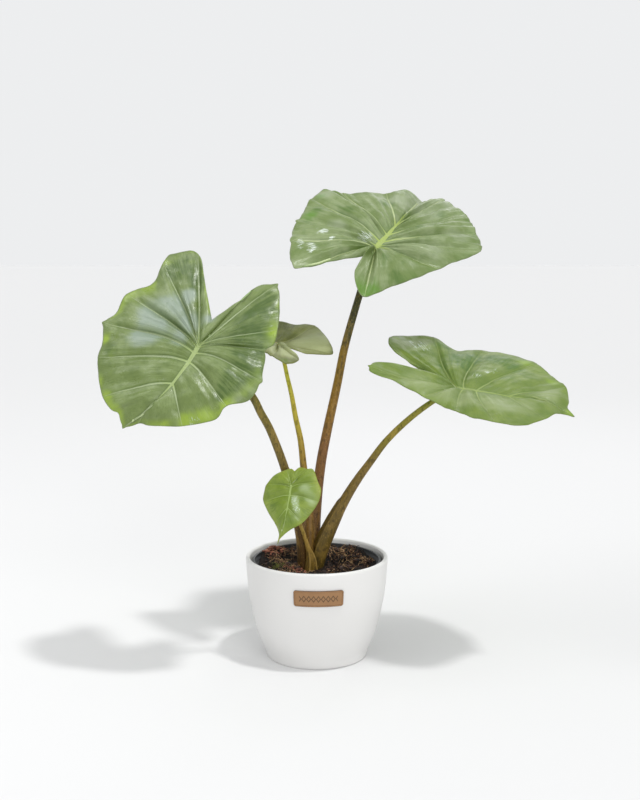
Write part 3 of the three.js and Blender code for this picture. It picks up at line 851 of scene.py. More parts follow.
def uneven(leaf, side, flat, t, s):
    """Small waves of a real blade: slow swells, quick puckers, folds and a margin that rolls."""
    seed = leaf["arch"] + leaf["bend"]
    own = min(1, t, len(leaf["margin"]) - 1 - t)
    swell = SWELL[0] * noise.noise(Vector((*flat, seed)) / SWELL[1])
    pucker = PUCKER[0] * noise.noise(Vector((*flat, 3 * seed)) / PUCKER[1])
    spot = Vector((FOLD_PACE[0] * t, FOLD_PACE[1] * s + 7 * side, seed))
    fold = leaf["fold"] * noise.noise(spot) * (1 - FOLD_FADE * s)
    rolled = CURL * max(0, s - CURL_FROM) / CURL_WIDTH
    roll = rolled * noise.noise(Vector((t * CURL_PACE, seed, side)))
    waves = (swell + pucker) * min(1, 4 * s) * leaf["puff"] / 3
    return waves + own * (fold * min(1, 5 * s) + roll * leaf["puff"] / 3)


def margin_row(leaf, side, t):
    """Where the ray at t leaves the midrib, and where it meets the margin."""
    row = through([(row[0], *row[side]) for row in leaf["margin"]], t)
    for on, at, along, across, width in leaf["points"]:
        if on in (0, side):
            share = math.exp(-(((t - at) / width) ** 2))
            row[1] += share * along
            row[2] += share * across
    return row


def blade_place(leaf, side, row, t, s):
    """Place of the upper face in the blade's own frame."""
    root, along, across, lift = row
    start = midrib_point(leaf, max(0, root))
    length = math.hypot(along - start[0], across - start[1])
    square_on = (across - start[1]) / length
    sweep = leaf["sweep"] * length * square_on**2 * PEAK * s * (1 - s) ** 2
    flat = (start[0] + (along - start[0]) * s - sweep, start[1] + (across - start[1]) * s)
    lift = start[2] + (lift - start[2]) * s**LIFT_POWER
    return Vector((*flat, lift + puffed(leaf, side, t, s) + uneven(leaf, side, flat, t, s)))


def blade_depth(leaf, row, t, s):
    """Thickness of the blade, which is ribbed under its veins."""
    fade = 1 - RIB_FADE * max(0, row[0]) / leaf["margin"][-1][0]
    near_rib = math.exp(-((s / 0.02) ** 2))
    share = max(near_rib, SIDE_RIB * (1 - between_veins(t)) ** 3)
    return BLADE_THICK + BLADE_RIB * (1 - s) ** 2 * share * fade


print("depth at the hub", round(blade_depth(LEAVES["left"], (0, 0, 0, 0), 2, 0), 2), "mm")

# %% [markdown]
# A blade is thin, and its veins stand out from it. The veins could be painted on as a mask, but
# that would blur on a coarse mesh. So each point stores numbers for the finish instead: how far
# it is from the edge of the nearest vein in millimetres, how far out it is towards the margin,
# which row it is in and on which side, and how much it belongs to a waxy patch with a painted
# sheen, a lime or deep green patch, or a painted glint. A line drawn at a distance stays crisp.
# The lower face comes from the Solidify modifier, which takes each point's thickness from a
# vertex group and gives the underside a second material.

# %% Blade mesh
# half width and height of the midrib, and then of a side vein
MIDRIB_HALF = 2.4
MIDRIB_CREST = 0.5
VEIN_HALF = 0.75
VEIN_CREST = 0.22
RIB_LEAST = 0.1  # least share of its width that the midrib keeps
RIB_PAST_TIP = 12  # how far beyond the tip it would run out, in millimetres
VEIN_LEAST = 0.15  # share of its width that a side vein keeps at the margin
VEIN_POWER = 0.7
SIDE_APART = 20  # sets the streaks of the two halves of a blade apart
WIDE_ROW = 4  # a row that ends well off the midrib, which tells the halves apart
DEEPEST = BLADE_THICK + BLADE_RIB


def vein_lines(leaf, side, rings):
    """The side veins of one half of a blade, each as a row of (place, direction) in its plane."""
    lines = {}
    for t in range(2, len(leaf["margin"]), 2):
        row = margin_row(leaf, side, t)
        places = [blade_place(leaf, side, row, t, s).to_2d() for s in rings]
        last = len(rings) - 1
        ways = [places[min(i + 1, last)] - places[max(i - 1, 0)] for i in range(len(rings))]
        lines[t] = list(zip(places, ways))
    return lines


def spotted(flat, spots):
    """How much of a patch of colour lies at a point, from (along, across, radius) of its spots."""
    share = 0
    for along, across, radius in spots:
        share += math.exp(-((flat.x - along) ** 2 + (flat.y - across) ** 2) / radius**2)
    return min(1, share)


def blade_mesh(leaf, columns_per_row, ring_count, scale):
    """The upper face of a blade, still open, in the blade's own frame."""
    bm = bmesh.new()
    bm.loops.layers.uv.new("leaf")
    vein_layer = bm.verts.layers.float.new("vein_mm")
    out_layer = bm.verts.layers.float.new("out")
    fan_layer = bm.verts.layers.float.new("fan")
    patch_layers = {name: bm.verts.layers.float.new(name) for name in leaf["patches"]}
    depth_layer = bm.verts.layers.deform.verify()
    span = len(leaf["margin"]) - 1
    tip = leaf["margin"][-1][0]
    columns = span * columns_per_row
    rings = [(i / ring_count) ** RING_POWER for i in range(ring_count + 1)]
    for side in (1, 2):
        lines = vein_lines(leaf, side, rings)
        grid = bmesh.ops.create_grid(
            bm,
            x_segments=columns,
            y_segments=ring_count,
            size=0.5,
            matrix=Matrix.Translation((0.5, 0.5, 0)),
            calc_uvs=True,
        )["verts"]
        rows = {}
        for vert in grid:
            column = round(vert.co.x * columns)
            ring = round(vert.co.y * ring_count)
            t = column / columns_per_row
            s = rings[ring]
            if column not in rows:
                rows[column] = margin_row(leaf, side, t)
            row = rows[column]
            place = blade_place(leaf, side, row, t, s)
            flat = place.to_2d()
            vein_t = min(max(2, 2 * round(t / 2)), span)
            on_vein, way = lines[vein_t][ring]
            off_vein = abs((flat - on_vein).cross(way.normalized())) if way.length > 1e-6 else 0
            width = VEIN_HALF * scale * ((1 - s) ** VEIN_POWER + VEIN_LEAST)
            far = max(0, flat.x)
            off_rib = math.hypot(min(0, flat.x), flat.y - midrib_point(leaf, far)[1])
            taper = max(RIB_LEAST, 1 - far / (tip + RIB_PAST_TIP))
            rib_width = MIDRIB_HALF * scale * taper
            vert[vein_layer] = min(off_vein - width, off_rib - rib_width)
            vert[out_layer] = s
            vert[fan_layer] = t + SIDE_APART * side
            for name, spots in leaf["patches"].items():
                vert[patch_layers[name]] = spotted(flat, spots)
            vert[depth_layer][0] = blade_depth(leaf, row, t, s) / DEEPEST
            crest = MIDRIB_CREST * scale * math.exp(-((off_rib / rib_width) ** 2)) * (1 - s)
            crest += VEIN_CREST * scale * math.exp(-((off_vein / width) ** 2)) * min(1, 8 * s)
            vert.co = place + Vector((0, 0, crest))
        if leaf["margin"][WIDE_ROW][side][1] < 0:
            turned_round = {face for vert in grid for face in vert.link_faces}
            bmesh.ops.reverse_faces(bm, faces=list(turned_round))
    bmesh.ops.remove_doubles(bm, verts=bm.verts, dist=0.02)
    return bm


def blade_frame(leaf):
    """The turn and place that carry a blade from its own frame to the plant's."""
    up = Vector(leaf["upside"]).normalized()
    along = Vector(leaf["midrib"])
    along = (along - up * along.dot(up)).normalized()
    across = up.cross(along)
    turn = Matrix((along, across, up)).transposed().to_4x4()
    return Matrix.Translation(leaf["hub"]) @ turn


print("a blade is at most", DEEPEST, "mm thick")

# %% [markdown]
# ## The green of the leaves
#
# A leaf is never one green. It is deeper in the middle of each panel, paler along the veins,
# yellower at the margin, and it has a grey waxy bloom. Over the bloom the finish paints a grey
# sheen where the wax would catch the light, and it also paints shade on one side of each bay and
# beside the veins, and a few near-white glints. The finish mixes these from the stored numbers
# and a few noises. Fine streaks fan out between the veins.
# They are a noise over the row position and the way out, so they bend as the leaf does. The
# gloss is a thin coat over a duller body, as wax is.

# %% Leaf finishes
# deep, middle, pale, waxy sheen, lime, midrib, vein and painted glint colours, then how much of
# the lime shows at the margin, how rough the blade is, how much painted shade lies beside its
# veins and how strong the waxy patches with their painted sheen are
GREENS = {
    "left": (
        ("375208", "607236", "74854e", "869586", "88a12e", "98aa6a", "a2b086", "bccbc2"),
        (0.6, 0.34, 0.45, 0.9),
    ),
    "top": (
        ("46641e", "677a40", "808f61", "9ba58a", "527c16", "a0b25a", "b8c490", "dfe8e2"),
        (0.15, 0.42, 0.45, 0.5),
    ),
    "right": (
        ("3f640a", "5f7526", "6f8232", "8f9c6c", "7b9626", "879a4c", "8b9a5c", "c3cfc0"),
        (0.2, 0.44, 0.25, 0.65),
    ),
    "back": (
        ("464c1b", "5f652f", "74793c", "a4ab7c", "5f7026", "949253", "949860", "a9b295"),
        (0.15, 0.5, 0.1, 0.9),
    ),
    "young": (
        ("566f10", "6e8423", "879a3b", "a6b888", "b0a52c", "9db364", "9cb066", "c9d8c2"),
        (0.2, 0.36, 0.2, 0.7),
    ),
}
UNDERSIDE = ("7a9458", "8fa570")
COAT_GAIN = 0.9
COAT_LIMIT = 0.48  # a blade rougher than this has no glossy coat


def leaf_finish(name, greens):
    codes, shares = greens
    deep, middle, pale, wax_and_sheen, lime, midrib, vein, painted_glint = [from_hex(code) for code in codes]
    rim_share, rough, groove_shade_share, wax_and_sheen_share = shares
    coat = max(0, COAT_GAIN * (COAT_LIMIT - rough))
    leaf = Finish(f"blade_{name}_top", rough, coat_weight=coat, coat_roughness=0.2)
    edge = leaf.attribute("vein_mm")
    out = leaf.attribute("out")
    fan = leaf.attribute("fan")
    bay = leaf.math("FRACT", leaf.times(fan, 0.5))
    strands = leaf.node("CombineXYZ", ("X", leaf.times(fan, 6)), ("Y", leaf.times(out, 2.5)))
    streak = leaf.noise(1.0, 4, strands.outputs["Vector"])
    fine = leaf.noise(4.0, 3, strands.outputs["Vector"])
    cloud = leaf.noise(38, 4)
    mottle = leaf.noise(110, 4)
    ragged = leaf.plus(leaf.times(streak, 1.1), leaf.times(mottle, 0.9))

    def patch(name, low, high, strength, green, colour, grain=ragged):
        share = leaf.times(leaf.attribute(name), grain)
        return leaf.mix(leaf.range(share, low, high, 0, strength), green, colour)

    green = leaf.mix(leaf.range(cloud, 0.4, 0.6), middle, pale)
    # Painted shade: each bay darkens from one vein towards the next, like the side of a puff turned
    # from the light.
    green = leaf.mix(leaf.range(bay, 0.1, 1.0, 0, 0.4), green, middle)
    green = leaf.mix(leaf.range(streak, 0.46, 0.62, 0, 0.4), green, middle)
    green = leaf.mix(leaf.range(fine, 0.5, 0.7, 0, 0.3), green, deep)
    green = leaf.mix(leaf.range(mottle, 0.52, 0.72, 0, 0.3), green, deep)
    drawn = leaf.plus(leaf.times(leaf.range(streak, 0.4, 0.6), 0.35), ragged)
    green = patch("deep", 0.35, 1.6, 0.85, green, deep, drawn)
    rim = leaf.times(leaf.range(out, 0.78, 1.0), leaf.range(leaf.noise(34, 2), 0.45, 0.6))
    green = leaf.mix(leaf.times(rim, rim_share), green, lime)
    green = patch("lime", 0.2, 1.1, 0.9, green, lime)
    # Painted sheen: the waxy patches are a grey bloom plus a painted reflection, stronger on one
    # side of each bay.
    sheen_side = leaf.range(bay, 0.95, 0.45, 0.35, 1)
    soft = leaf.plus(leaf.times(ragged, 0.7), 0.3)
    green = patch("wax_and_sheen", 0.25, 1.1, leaf.times(sheen_side, wax_and_sheen_share), green, wax_and_sheen, soft)
    # Painted shade: a dark band along each vein, where the crease beside it lies in shade.
    painted_groove_shade = leaf.times(leaf.range(edge, 1.8, 0.1), leaf.range(out, 0.9, 0.2, 0, groove_shade_share))
    green = leaf.mix(painted_groove_shade, green, deep)
    # Painted highlight: near-white glints in fine streaks, where a wet leaf would catch the light.
    painted_glint_streaks = leaf.times(leaf.range(fine, 0.46, 0.62), leaf.range(mottle, 0.4, 0.56))
    green = patch("painted_glint", 0.15, 0.6, 0.8, green, painted_glint, painted_glint_streaks)
    mask = leaf.range(edge, 0.35, -0.35)
    rib = leaf.mix(leaf.range(out, 0.02, 0.25), midrib, vein)
    green = leaf.mix(leaf.times(mask, leaf.range(out, 0.1, 1, 0.9, 0.45)), green, rib)
    green = leaf.mix(leaf.range(out, 0.984, 0.996, 0, 0.7), green, pale)
    leaf.colour(green)
    leaf.roughness(leaf.range(mottle, 0.35, 0.65, rough - 0.07, rough + 0.07))
    relief = leaf.plus(leaf.times(mask, 0.4), leaf.times(streak, 0.55))
    relief = leaf.plus(relief, leaf.times(fine, 0.3))
    relief = leaf.plus(relief, leaf.times(mottle, 0.3))
    leaf.bump(relief, 0.6, 0.001)
    return leaf.material


def underside_finish(name):
    leaf = Finish(f"blade_{name}_under", 0.55)
    edge = leaf.attribute("vein_mm")
    green = leaf.mix(leaf.noise(50, 3), from_hex(UNDERSIDE[0]), from_hex(UNDERSIDE[1]))
    green = leaf.mix(leaf.range(edge, 0.25, -0.1, 0, 0.8), green, from_hex("c2cf9c"))
    leaf.colour(green)
    leaf.bump(leaf.noise(900, 3), 0.2, 0.0004)
    return leaf.material


# %% [markdown]
# Each blade is built in a frame of its own, with its hub at the origin, and is then turned and
# moved onto its stalk. It could be built in place, but the rule for a point is far shorter in a
# frame that has the midrib along one axis and the upper face along another.

# %% Blades
# how fine each blade is, and how wide its veins are against the largest
BLADE_GRIDS = {
    "left": (20, 56, 1.0),
    "top": (20, 56, 1.3),
    "right": (20, 56, 0.85),
    "back": (16, 40, 0.6),
    "young": (14, 32, 0.42),
}
for name, leaf in LEAVES.items():
    columns_per_row, ring_count, scale = BLADE_GRIDS[name]
    bm = blade_mesh(leaf, columns_per_row, ring_count, scale)
    bmesh.ops.transform(bm, matrix=blade_frame(leaf), verts=bm.verts)
    finishes = [leaf_finish(name, GREENS[name]), underside_finish(name)]
    blade = show(bm, f"blade_{name}_fine", f"blade_{name}", finishes)
    blade.vertex_groups.new(name="depth")
    skin = blade.modifiers.new("depth", "SOLIDIFY")
    skin.thickness = DEEPEST * MM
    skin.offset = -1
    skin.vertex_group = "depth"
    skin.material_offset = 1

# %% [markdown]
# ## Stalks
#
# A stalk is round and smooth, widens downwards, and turns into a sheath at its foot, which is a
# groove between two thin lips. A curve with a bevel gives a round tube in one step, but it
# can't groove it. So the stalk is a grid again, wrapped round a line that runs from the hub to
# the corm, and its radius depends on the height and on the way it faces.

# %% Stalk lines
# rows of x, y, z and radius, from the blade's hub down into the soil
STALKS = {
    "top": [
        (58, 30, 401, 3.0),
        (48, 28, 375, 3.2),
        (42, 26, 356, 3.5),
        (28, 20, 307, 3.9),
        (20, 15, 268, 4.2),
        (10, 10, 222, 4.6),
        (4, 7, 190, 4.9),
        (0, 5, 155, 5.2),
        (-2, 4, 120, 5.4),
        (-3, 3, 86, 5.6),
        (-3, 2, 68, 5.6),
    ],
    "right": [
        (134, -25, 270, 2.3),
        (126, -24.5, 265.5, 2.4),
        (112, -24, 258, 2.6),
        (90, -21, 241, 2.9),
        (68, -18, 219, 3.2),
        (52, -15.4, 197, 3.6),
        (38, -12.8, 176.5, 4.3),
        (25.5, -11, 155, 5.2),
        (15, -9, 134, 6.8),
        (6, -7.5, 113, 7.6),
        (1, -6.5, 96, 7.2),
        (-1, -6, 84, 7),
        (-3, -5, 70, 6.4),
    ],
    "left": [
        (-107, -70, 314, 3.0),
        (-95, -65, 306, 3.1),
        (-78, -58, 289, 3.3),
        (-60, -52, 266, 3.6),
        (-52, -46, 249, 3.7),
        (-43, -39, 230, 3.8),
        (-31, -27, 194, 4.1),
        (-23, -20, 160, 4.6),
        (-15.5, -13, 122, 5.2),
        (-13, -10, 88, 5.4),
        (-11, -8, 70, 5.2),
    ],
    "back": [
        (-39, 25, 308, 1.9),
        (-33, 25, 292, 2.0),
        (-29, 25, 274, 2.1),
        (-25, 23, 257, 2.3),
        (-21, 20, 235, 2.6),
        (-16, 17, 212, 3.0),
        (-13, 12, 186, 3.5),
        (-10, 6, 160, 4.4),
        (-7.5, 1, 135, 5.4),
        (-7.5, -1, 112, 5.8),
        (-8, -2, 88, 6.0),
        (-8, -1, 70, 5.2),
    ],
    "young": [
        (-24, -45, 180, 1.4),
        (-22, -38, 166, 1.5),
        (-19, -31, 151, 1.6),
        (-16, -26, 138, 1.7),
        (-12.5, -22, 127, 1.8),
        (-8.8, -19, 114, 2.2),
        (-6.5, -17, 104, 3.8),
        (-6, -16, 96, 5.2),
        (-6.5, -15, 86, 6.0),
        (-7, -13, 70, 5.0),
    ],
}
# height at which each sheath opens, and the way its groove faces, in degrees from +X
SHEATHS = {
    "top": (176, 200),
    "right": (156, 190),
    "left": (190, 50),
    "back": (150, 110),
    "young": (109, 305),
}
SHEATH_RISE = 1.4
LIP_ANGLE = math.radians(40)
LIP_SPREAD = math.radians(9)
LIP_HEIGHT = 0.32
GROOVE = 0.22
TUCK = 1.3  # how far below the upper face of its blade a stalk ends
HUB_ROWS = 5  # rows of a stalk that can be cut back by the face of its blade


def sheath_form(angle):
    """How much of a lip and of a groove a sheath has, at an angle from its groove's middle."""
    turn = abs((angle + math.pi) % (2 * math.pi) - math.pi)
    return math.exp(-(((turn - LIP_ANGLE) / LIP_SPREAD) ** 2)), max(0, 1 - (turn / LIP_ANGLE) ** 2)


def stalk_mesh(line, leaf, sheath, sides=40, step=2.4):
    lengths = [(Vector(a[:3]) - Vector(b[:3])).length for a, b in zip(line, line[1:])]
    steps = round(sum(lengths) / step)
    rows = curved(line, steps)
    bm = bmesh.new()
    lip_layer = bm.verts.layers.float.new("lip")
    grid = bmesh.ops.create_grid(
        bm, x_segments=sides, y_segments=steps, size=0.5, matrix=Matrix.Translation((0.5, 0.5, 0))
    )["verts"]
    opening, facing = sheath
    up = Vector(leaf["upside"]).normalized()
    groove_way = Vector((math.cos(math.radians(facing)), math.sin(math.radians(facing)), 0))
    for vert in grid:
        i = round(vert.co.y * steps)
        turn = 2 * math.pi * vert.co.x
        x, y, z, radius = rows[i]
        way = Vector(rows[min(i + 1, steps)][:3]) - Vector(rows[max(i - 1, 0)][:3])
        across = (groove_way - way * groove_way.dot(way) / way.length_squared).normalized()
        painted_groove_shade = way.normalized().cross(across)
        share = 1 / (1 + math.exp((z - opening) / SHEATH_RISE * 4))
        lip, groove = sheath_form(turn)
        radius *= 1 + share * (LIP_HEIGHT * lip - GROOVE * groove)
        vert[lip_layer] = lip * share
        vert.co = Vector((x, y, z)) + radius * (across * math.cos(turn) + painted_groove_shade * math.sin(turn))
        above = (vert.co - Vector(leaf["hub"])).dot(up) + TUCK
        if i < HUB_ROWS and above > 0:
            vert.co -= way * above / way.dot(up)
    bmesh.ops.remove_doubles(bm, verts=bm.verts, dist=1e-3)
    ends = [edge for edge in bm.edges if edge.is_boundary]
    bmesh.ops.holes_fill(bm, edges=ends, sides=0)
    bmesh.ops.recalc_face_normals(bm, faces=bm.faces)
    return bm


print("stalks:", ", ".join(STALKS))

# %% [markdown]
# The stalks of this plant are olive near the blade and brown lower down, with dark mottles that
# are drawn out along the stalk. Object coordinates squeezed in Z stretch a noise upwards, and
# the height itself picks the colour.

# %% Stalk finishes
# heights in millimetres with the colour there, from the soil up
STALK_COLOURS = {
    "top": [
        (85, "4a3310"), (150, "664620"), (205, "744f26"), (240, "7b5a1a"), (300, "755c14"),
        (318, "37370a"), (400, "43450f"),
    ],
    "right": [
        (85, "483a0e"), (130, "5e4c18"), (165, "6a5622"), (190, "705c26"), (230, "79711c"),
        (270, "878c28"),
    ],
    "left": [(85, "422c0d"), (150, "624618"), (210, "685820"), (270, "655e1c"), (314, "6a6822")],
    "back": [
        (85, "664a1a"), (150, "775826"), (190, "8a6e20"), (240, "a8992c"), (292, "b8b834"),
        (300, "78821c"),
    ],
    "young": [(85, "5a4610"), (104, "6c551c"), (116, "967836"), (150, "a08c40"), (180, "a0a848")],
}
LIP_TINT = 0.15  # how pale the lips of a sheath are
YOUNG_LIP_TINT = 0.6  # the same on the young stalk


def stalk_finish(name, stops):
    stalk = Finish(f"stalk_{name}_skin", 0.46, specular_ior_level=0.35)
    height = stalk.node("SeparateXYZ", ("Vector", stalk.place)).outputs["Z"]
    colour = from_hex(stops[0][1])
    for (low, _), (high, code) in zip(stops, stops[1:]):
        colour = stalk.mix(stalk.range(height, low * MM, high * MM), colour, from_hex(code))
    drawn_out = stalk.scaled(1, 1, 0.45)
    speck = stalk.noise(1000, 2, drawn_out)
    mottle = stalk.noise(420, 3, drawn_out)
    patch = stalk.noise(70, 3, drawn_out)
    dark = stalk.mix(0.65, colour, from_hex("1c1404"))
    light = stalk.mix(0.5, colour, from_hex("b8954a"))
    colour = stalk.mix(stalk.range(patch, 0.48, 0.68, 0, 0.5), colour, light)
    colour = stalk.mix(stalk.range(speck, 0.56, 0.66, 0, 0.6), colour, light)
    colour = stalk.mix(stalk.range(mottle, 0.54, 0.62, 0, 0.7), colour, dark)
    tint = YOUNG_LIP_TINT if name == "young" else LIP_TINT
    on_lip = stalk.range(stalk.attribute("lip"), 0.3, 0.9, 0, tint)
    colour = stalk.mix(on_lip, colour, from_hex("a88a48"))
    stalk.colour(colour)
    stalk.roughness(stalk.range(mottle, 0.3, 0.7, 0.4, 0.55))
    stalk.bump(stalk.noise(700, 3, drawn_out), 0.25, 0.0004)
    return stalk.material


# %% [markdown]
# The five stalks could be joined to one mesh, because they stand close together in the sheaths.
# Each stays a piece of its own instead, so that it still belongs to its own leaf.

# %% Stalks
for name, line in STALKS.items():
    bm = stalk_mesh(line, LEAVES[name], SHEATHS[name])
    show(bm, f"stalk_{name}_fine", f"stalk_{name}", [stalk_finish(name, STALK_COLOURS[name])])

# %% [markdown]
# ## Corm
#
# The corm is the thick rootstock that the stalks grow from. It stays under the soil, where no view
# shows it. A finer mesh would be work that nobody sees, so the ready made solid is kept and only
# gets a bark-like finish.

# %% Corm
corm_skin = Finish("corm_skin", 0.85)
rings_of_bark = corm_skin.noise(240, 4, corm_skin.scaled(1, 1, 3))
corm_skin.colour(corm_skin.mix(rings_of_bark, from_hex("3b2a1a"), from_hex("7a5a3a")))
corm_skin.bump(rings_of_bark, 0.6, 0.001)
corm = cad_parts["corm"]
for slot in corm.material_slots:
    slot.material = corm_skin.material
print("corm keeps its", len(corm.data.polygons), "faces")

# %% [markdown]
# ## Soil
#
# The soil is coir and peat with chips of bark. A flat disc with a noisy picture on it would look
# painted from close by, so the surface itself is lumpy. It is a turned disc, like the pots, whose
# points are then moved up and down by a few heaps and hollows and by a noise.

# %% Soil surface
SOIL_TOP = 88.2
SOIL_BOWL = 2.2
SOIL_BACK_RISE = 4.6
SOIL_EDGE = NURSERY_BAND_RADIUS - NURSERY_WALL - 0.45
# x, y, height and reach of the heaps and hollows
SOIL_HEAPS = [
    (-46, 28, 6, 11),
    (33, 34, 3, 14),
    (-33, 34, 2, 9),
    (-30, -22, 1.5, 12),
    (-54, 8, -4, 9),
    (18, 14, -2.5, 9),
]
SOIL_LUMP = (3.4, 10)  # height and size of the clumps
SOIL_CRUMB = (1.4, 2.4)  # the same for the crumbs
SOIL_SHOULDER = (0.6, 84)  # how far in from the edge the side ends, and at what height
SOIL_RINGS = 84
SOIL_SIDES = 200


def soil_height(x, y):
    """Height of the crumbly surface, which climbs a little to the wall and to the back."""
    out = math.hypot(x, y) / NURSERY_BAND_RADIUS
    back = (1 + y / NURSERY_BAND_RADIUS) / 2
    height = SOIL_TOP + SOIL_BOWL * out**2 + SOIL_BACK_RISE * back * out
    for heap_x, heap_y, rise, reach in SOIL_HEAPS:
        height += rise * math.exp(-((x - heap_x) ** 2 + (y - heap_y) ** 2) / reach**2)
    for rise, size in (SOIL_LUMP, SOIL_CRUMB):
        height += rise * noise.fractal(Vector((x, y, 3 + size)) / size, 0.8, 2.0, 4)
    return height


soil_foot = nursery_floor + NURSERY_WALL + GAP
top_line = [(SOIL_EDGE * (1 - i / SOIL_RINGS), SOIL_TOP) for i in range(SOIL_RINGS + 1)]
side_line = [(NURSERY_FOOT - 2, soil_foot), (SOIL_EDGE - SOIL_SHOULDER[0], SOIL_SHOULDER[1])]
bm = turned([(0, soil_foot), *side_line, *top_line], SOIL_SIDES)
for vert in bm.verts:
    if vert.co.z > SOIL_TOP - 1:
        vert.co.z = soil_height(vert.co.x, vert.co.y)
earth = Finish("soil_crumb", 0.95)
grit = earth.noise(420, 5)
damp = earth.noise(70, 3)
brown = earth.mix(earth.range(grit, 0.4, 0.75), from_hex("080503"), from_hex("24160e"))
brown = earth.mix(earth.range(damp, 0.5, 0.75, 0, 0.5), brown, from_hex("35211a"))
earth.colour(brown)
earth.bump(earth.noise(900, 5), 0.9, 0.0015)
show(bm, "soil_surface", "soil", [earth.material])

# %% [markdown]
# ## Bark chips and fibres
#
# Chips of bark and curled fibres lie on the soil. One chip could be modelled well and copied, but
# copies are soon seen as such. So each has a size, a tilt and a curl of its own, drawn at random
# from a fixed seed. They are many, so each has only a few faces, and all of a kind are one mesh.

# %% Places on the soil
SEED = 7
random.seed(SEED)
STEM_MIDDLE = (-5, -4)
STEM_CLEAR = 13  # radius round the stalks that stays free
EDGE_CLEAR = 2.5
spare = bpy.data.meshes.new("spare")


def soil_spot(places=None):
    """A random place on the soil that is clear of the stalks, near one of some (x, y, spread)."""
    while True:
        if places:
            near_x, near_y, spread = random.choice(places)
            x, y = random.gauss(near_x, spread / 2), random.gauss(near_y, spread / 2)
        else:
            turn = random.uniform(0, 2 * math.pi)
            radius = SOIL_EDGE * math.sqrt(random.random())
            x, y = radius * math.cos(turn), radius * math.sin(turn)
        off_stem = math.hypot(x - STEM_MIDDLE[0], y - STEM_MIDDLE[1])
        if off_stem > STEM_CLEAR and math.hypot(x, y) < SOIL_EDGE - EDGE_CLEAR:
            return x, y


def add_piece(bm, piece):
    """Adds a small bmesh to a large one. An operator runs fast only while its bmesh is small."""
    piece.to_mesh(spare)
    piece.free()
    bm.from_mesh(spare)


print("pieces lie", STEM_CLEAR, "mm or more from the middle of the stalks")

# %% [markdown]
# A chip of bark is flat, with broken edges. A box would be too regular, and a ball of a few faces
# that is squashed, jittered and tipped looks broken on all sides.

# %% Bark chips
def lay_chip(bm, x, y, size):
    """A flat, uneven chip of bark: a low icosphere that is squashed, jittered and tipped."""
    piece = bmesh.new()
    chip = bmesh.ops.create_icosphere(piece, subdivisions=1, radius=size)["verts"]
    for vert in chip:
        vert.co += Vector(random.uniform(-0.25, 0.25) * size for _ in range(3))
        vert.co.z *= 0.42
    turn = Matrix.Rotation(random.uniform(0, 2 * math.pi), 4, "Z")
    tip = Matrix.Rotation(random.uniform(-0.7, 0.7), 4, "X")
    lie = Matrix.Translation((x, y, soil_height(x, y) + 0.25 * size))
    stretch = Matrix.Diagonal((random.uniform(1, 1.9), 1, 1, 1))
    bmesh.ops.transform(piece, matrix=lie @ turn @ tip @ stretch, verts=chip)
    add_piece(bm, piece)


def chip_finish(name, dark, light):
    bark = Finish(name, 0.85)
    tone = bark.range(bark.noise(160, 3), 0.35, 0.65)
    bark.colour(bark.mix(tone, from_hex(dark), from_hex(light)))
    bark.bump(bark.noise(1100, 4), 0.6, 0.0006)
    return bark.material


# x, y and spread of the places where a kind lies thickest
RED_HEAPS = [(-48, 26, 12), (-44, 33, 13), (-49, 30, 9), (-22, -20, 11)]
ORANGE_HEAPS = [(34, 34, 20), (-30, 36, 14)]
# how many, least and most size in millimetres, dark and light colour, and where they lie
CHIP_KINDS = {
    "soil_bark_chips": (300, 0.8, 3.2, "130a06", "4a3022", None),
    "soil_pale_chips": (70, 0.5, 1.3, "6a4634", "a88a72", None),
    "soil_red_bark": (120, 0.8, 2.7, "4a2218", "a56a52", RED_HEAPS),
    "soil_orange_bark": (90, 0.7, 2.4, "4a2a18", "94684a", ORANGE_HEAPS),
}
for kind, (count, least, most, dark, light, places) in CHIP_KINDS.items():
    bm = bmesh.new()
    for _ in range(count):
        lay_chip(bm, *soil_spot(places), random.uniform(least, most) * random.uniform(0.6, 1))
    show(bm, kind, None, [chip_finish(kind, dark, light)])

# %% [markdown]
# A coir fibre is a stiff, curled hair. A curve with a bevel would do, but hundreds of curves are
# slow to handle. Here a ring of three points is extruded a few times along a path that turns by
# the same angle at each step, so that the fibre curls, and hops over the soil between its ends.

# %% Fibres
FIBRE_PIECES = 6


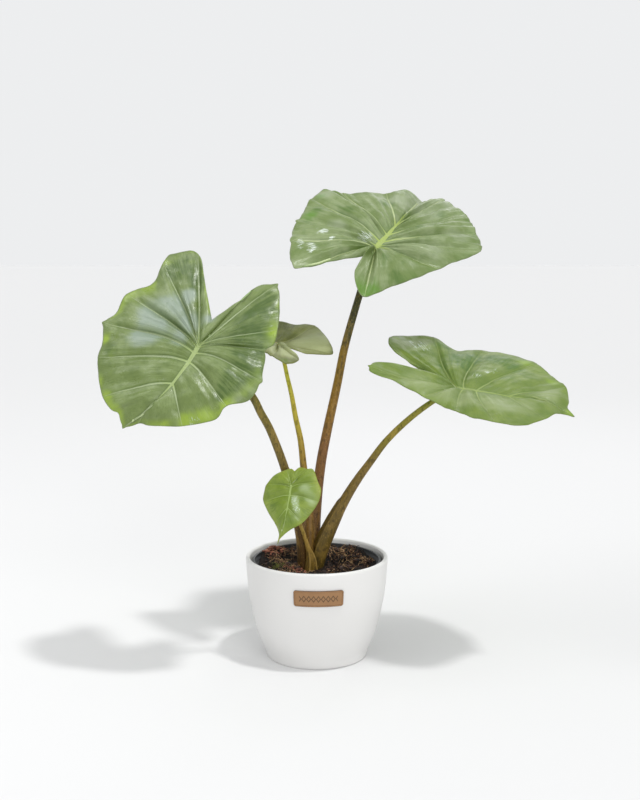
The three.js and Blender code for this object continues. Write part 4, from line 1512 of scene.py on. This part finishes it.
def lay_fibre(bm, x, y, length, thick):
    """A curled coir fibre: a three sided ring that is extruded along a wandering path."""
    piece = bmesh.new()
    ring = bmesh.ops.create_circle(piece, cap_ends=True, segments=3, radius=thick)["verts"]
    heading = random.uniform(0, 2 * math.pi)
    place = Vector((x, y, soil_height(x, y) + 0.4))
    stand = Matrix.Rotation(heading, 4, "Z") @ Matrix.Rotation(math.pi / 2, 4, "Y")
    bmesh.ops.transform(piece, matrix=Matrix.Translation(place) @ stand, verts=ring)
    faces = piece.faces[:]
    curl = random.uniform(-0.6, 0.6)
    hop = random.uniform(0.3, 2.4)
    for i in range(FIBRE_PIECES):
        heading += curl
        step = Vector((math.cos(heading), math.sin(heading), 0)) * length / FIBRE_PIECES
        here = faces[0].calc_center_median() + step
        if here.to_2d().length > SOIL_EDGE - 1:
            break
        made = bmesh.ops.extrude_face_region(piece, geom=faces)["geom"]
        faces = [g for g in made if isinstance(g, bmesh.types.BMFace)]
        verts = [g for g in made if isinstance(g, bmesh.types.BMVert)]
        bow = hop * math.sin(math.pi * (i + 1) / FIBRE_PIECES)
        rise = soil_height(here.x, here.y) + 0.5 + bow - here.z
        bmesh.ops.translate(piece, vec=step + Vector((0, 0, rise)), verts=verts)
    bmesh.ops.recalc_face_normals(piece, faces=piece.faces)
    add_piece(bm, piece)


# x, y and spread of the places where the coir lies thickest
COIR_NESTS = [
    (-36, 10, 14),
    (-24, 32, 12),
    (30, 30, 16),
    (44, 8, 14),
    (24, -18, 14),
    (-24, -24, 12),
    (12, 40, 12),
]
FIBRE_KINDS = {
    "soil_coir_fibres": (260, 5, 14, "6f4f30", "c9a47a", COIR_NESTS),
    "soil_dark_roots": (240, 6, 20, "160c07", "4a2f1c", None),
}
for kind, (count, least, most, dark, light, places) in FIBRE_KINDS.items():
    bm = bmesh.new()
    for _ in range(count):
        lay_fibre(bm, *soil_spot(places), random.uniform(least, most), random.uniform(0.16, 0.42))
    show(bm, kind, None, [chip_finish(kind, dark, light)])

# %% [markdown]
# ## Moss
#
# A patch of green moss grows on the soil at the left. Green paint on the soil would look
# flat beside the chips, so the moss is a bed of tiny upright tufts, each of them a narrow cone.

# %% Moss
MOSS = [(-40, -4, 10), (-32, -6, 9)]
TUFTS = 420
TUFT_RADIUS = 0.5
TUFT_TIP = 0.05
TUFT_HEIGHTS = (0.7, 1.6)
TUFT_LEAN = 0.6

bm = bmesh.new()
for _ in range(TUFTS):
    x, y = soil_spot(MOSS)
    piece = bmesh.new()
    tuft = bmesh.ops.create_cone(
        piece,
        cap_ends=True,
        segments=4,
        radius1=TUFT_RADIUS,
        radius2=TUFT_TIP,
        depth=random.uniform(*TUFT_HEIGHTS),
    )["verts"]
    forward = Matrix.Rotation(random.uniform(-TUFT_LEAN, TUFT_LEAN), 4, "X")
    sideways = Matrix.Rotation(random.uniform(-TUFT_LEAN, TUFT_LEAN), 4, "Y")
    stand = Matrix.Translation((x, y, soil_height(x, y) + 0.6))
    bmesh.ops.transform(piece, matrix=stand @ (forward @ sideways), verts=tuft)
    add_piece(bm, piece)
show(bm, "soil_moss", None, [chip_finish("moss", "3a4016", "8c8f44")])
bpy.data.meshes.remove(spare)
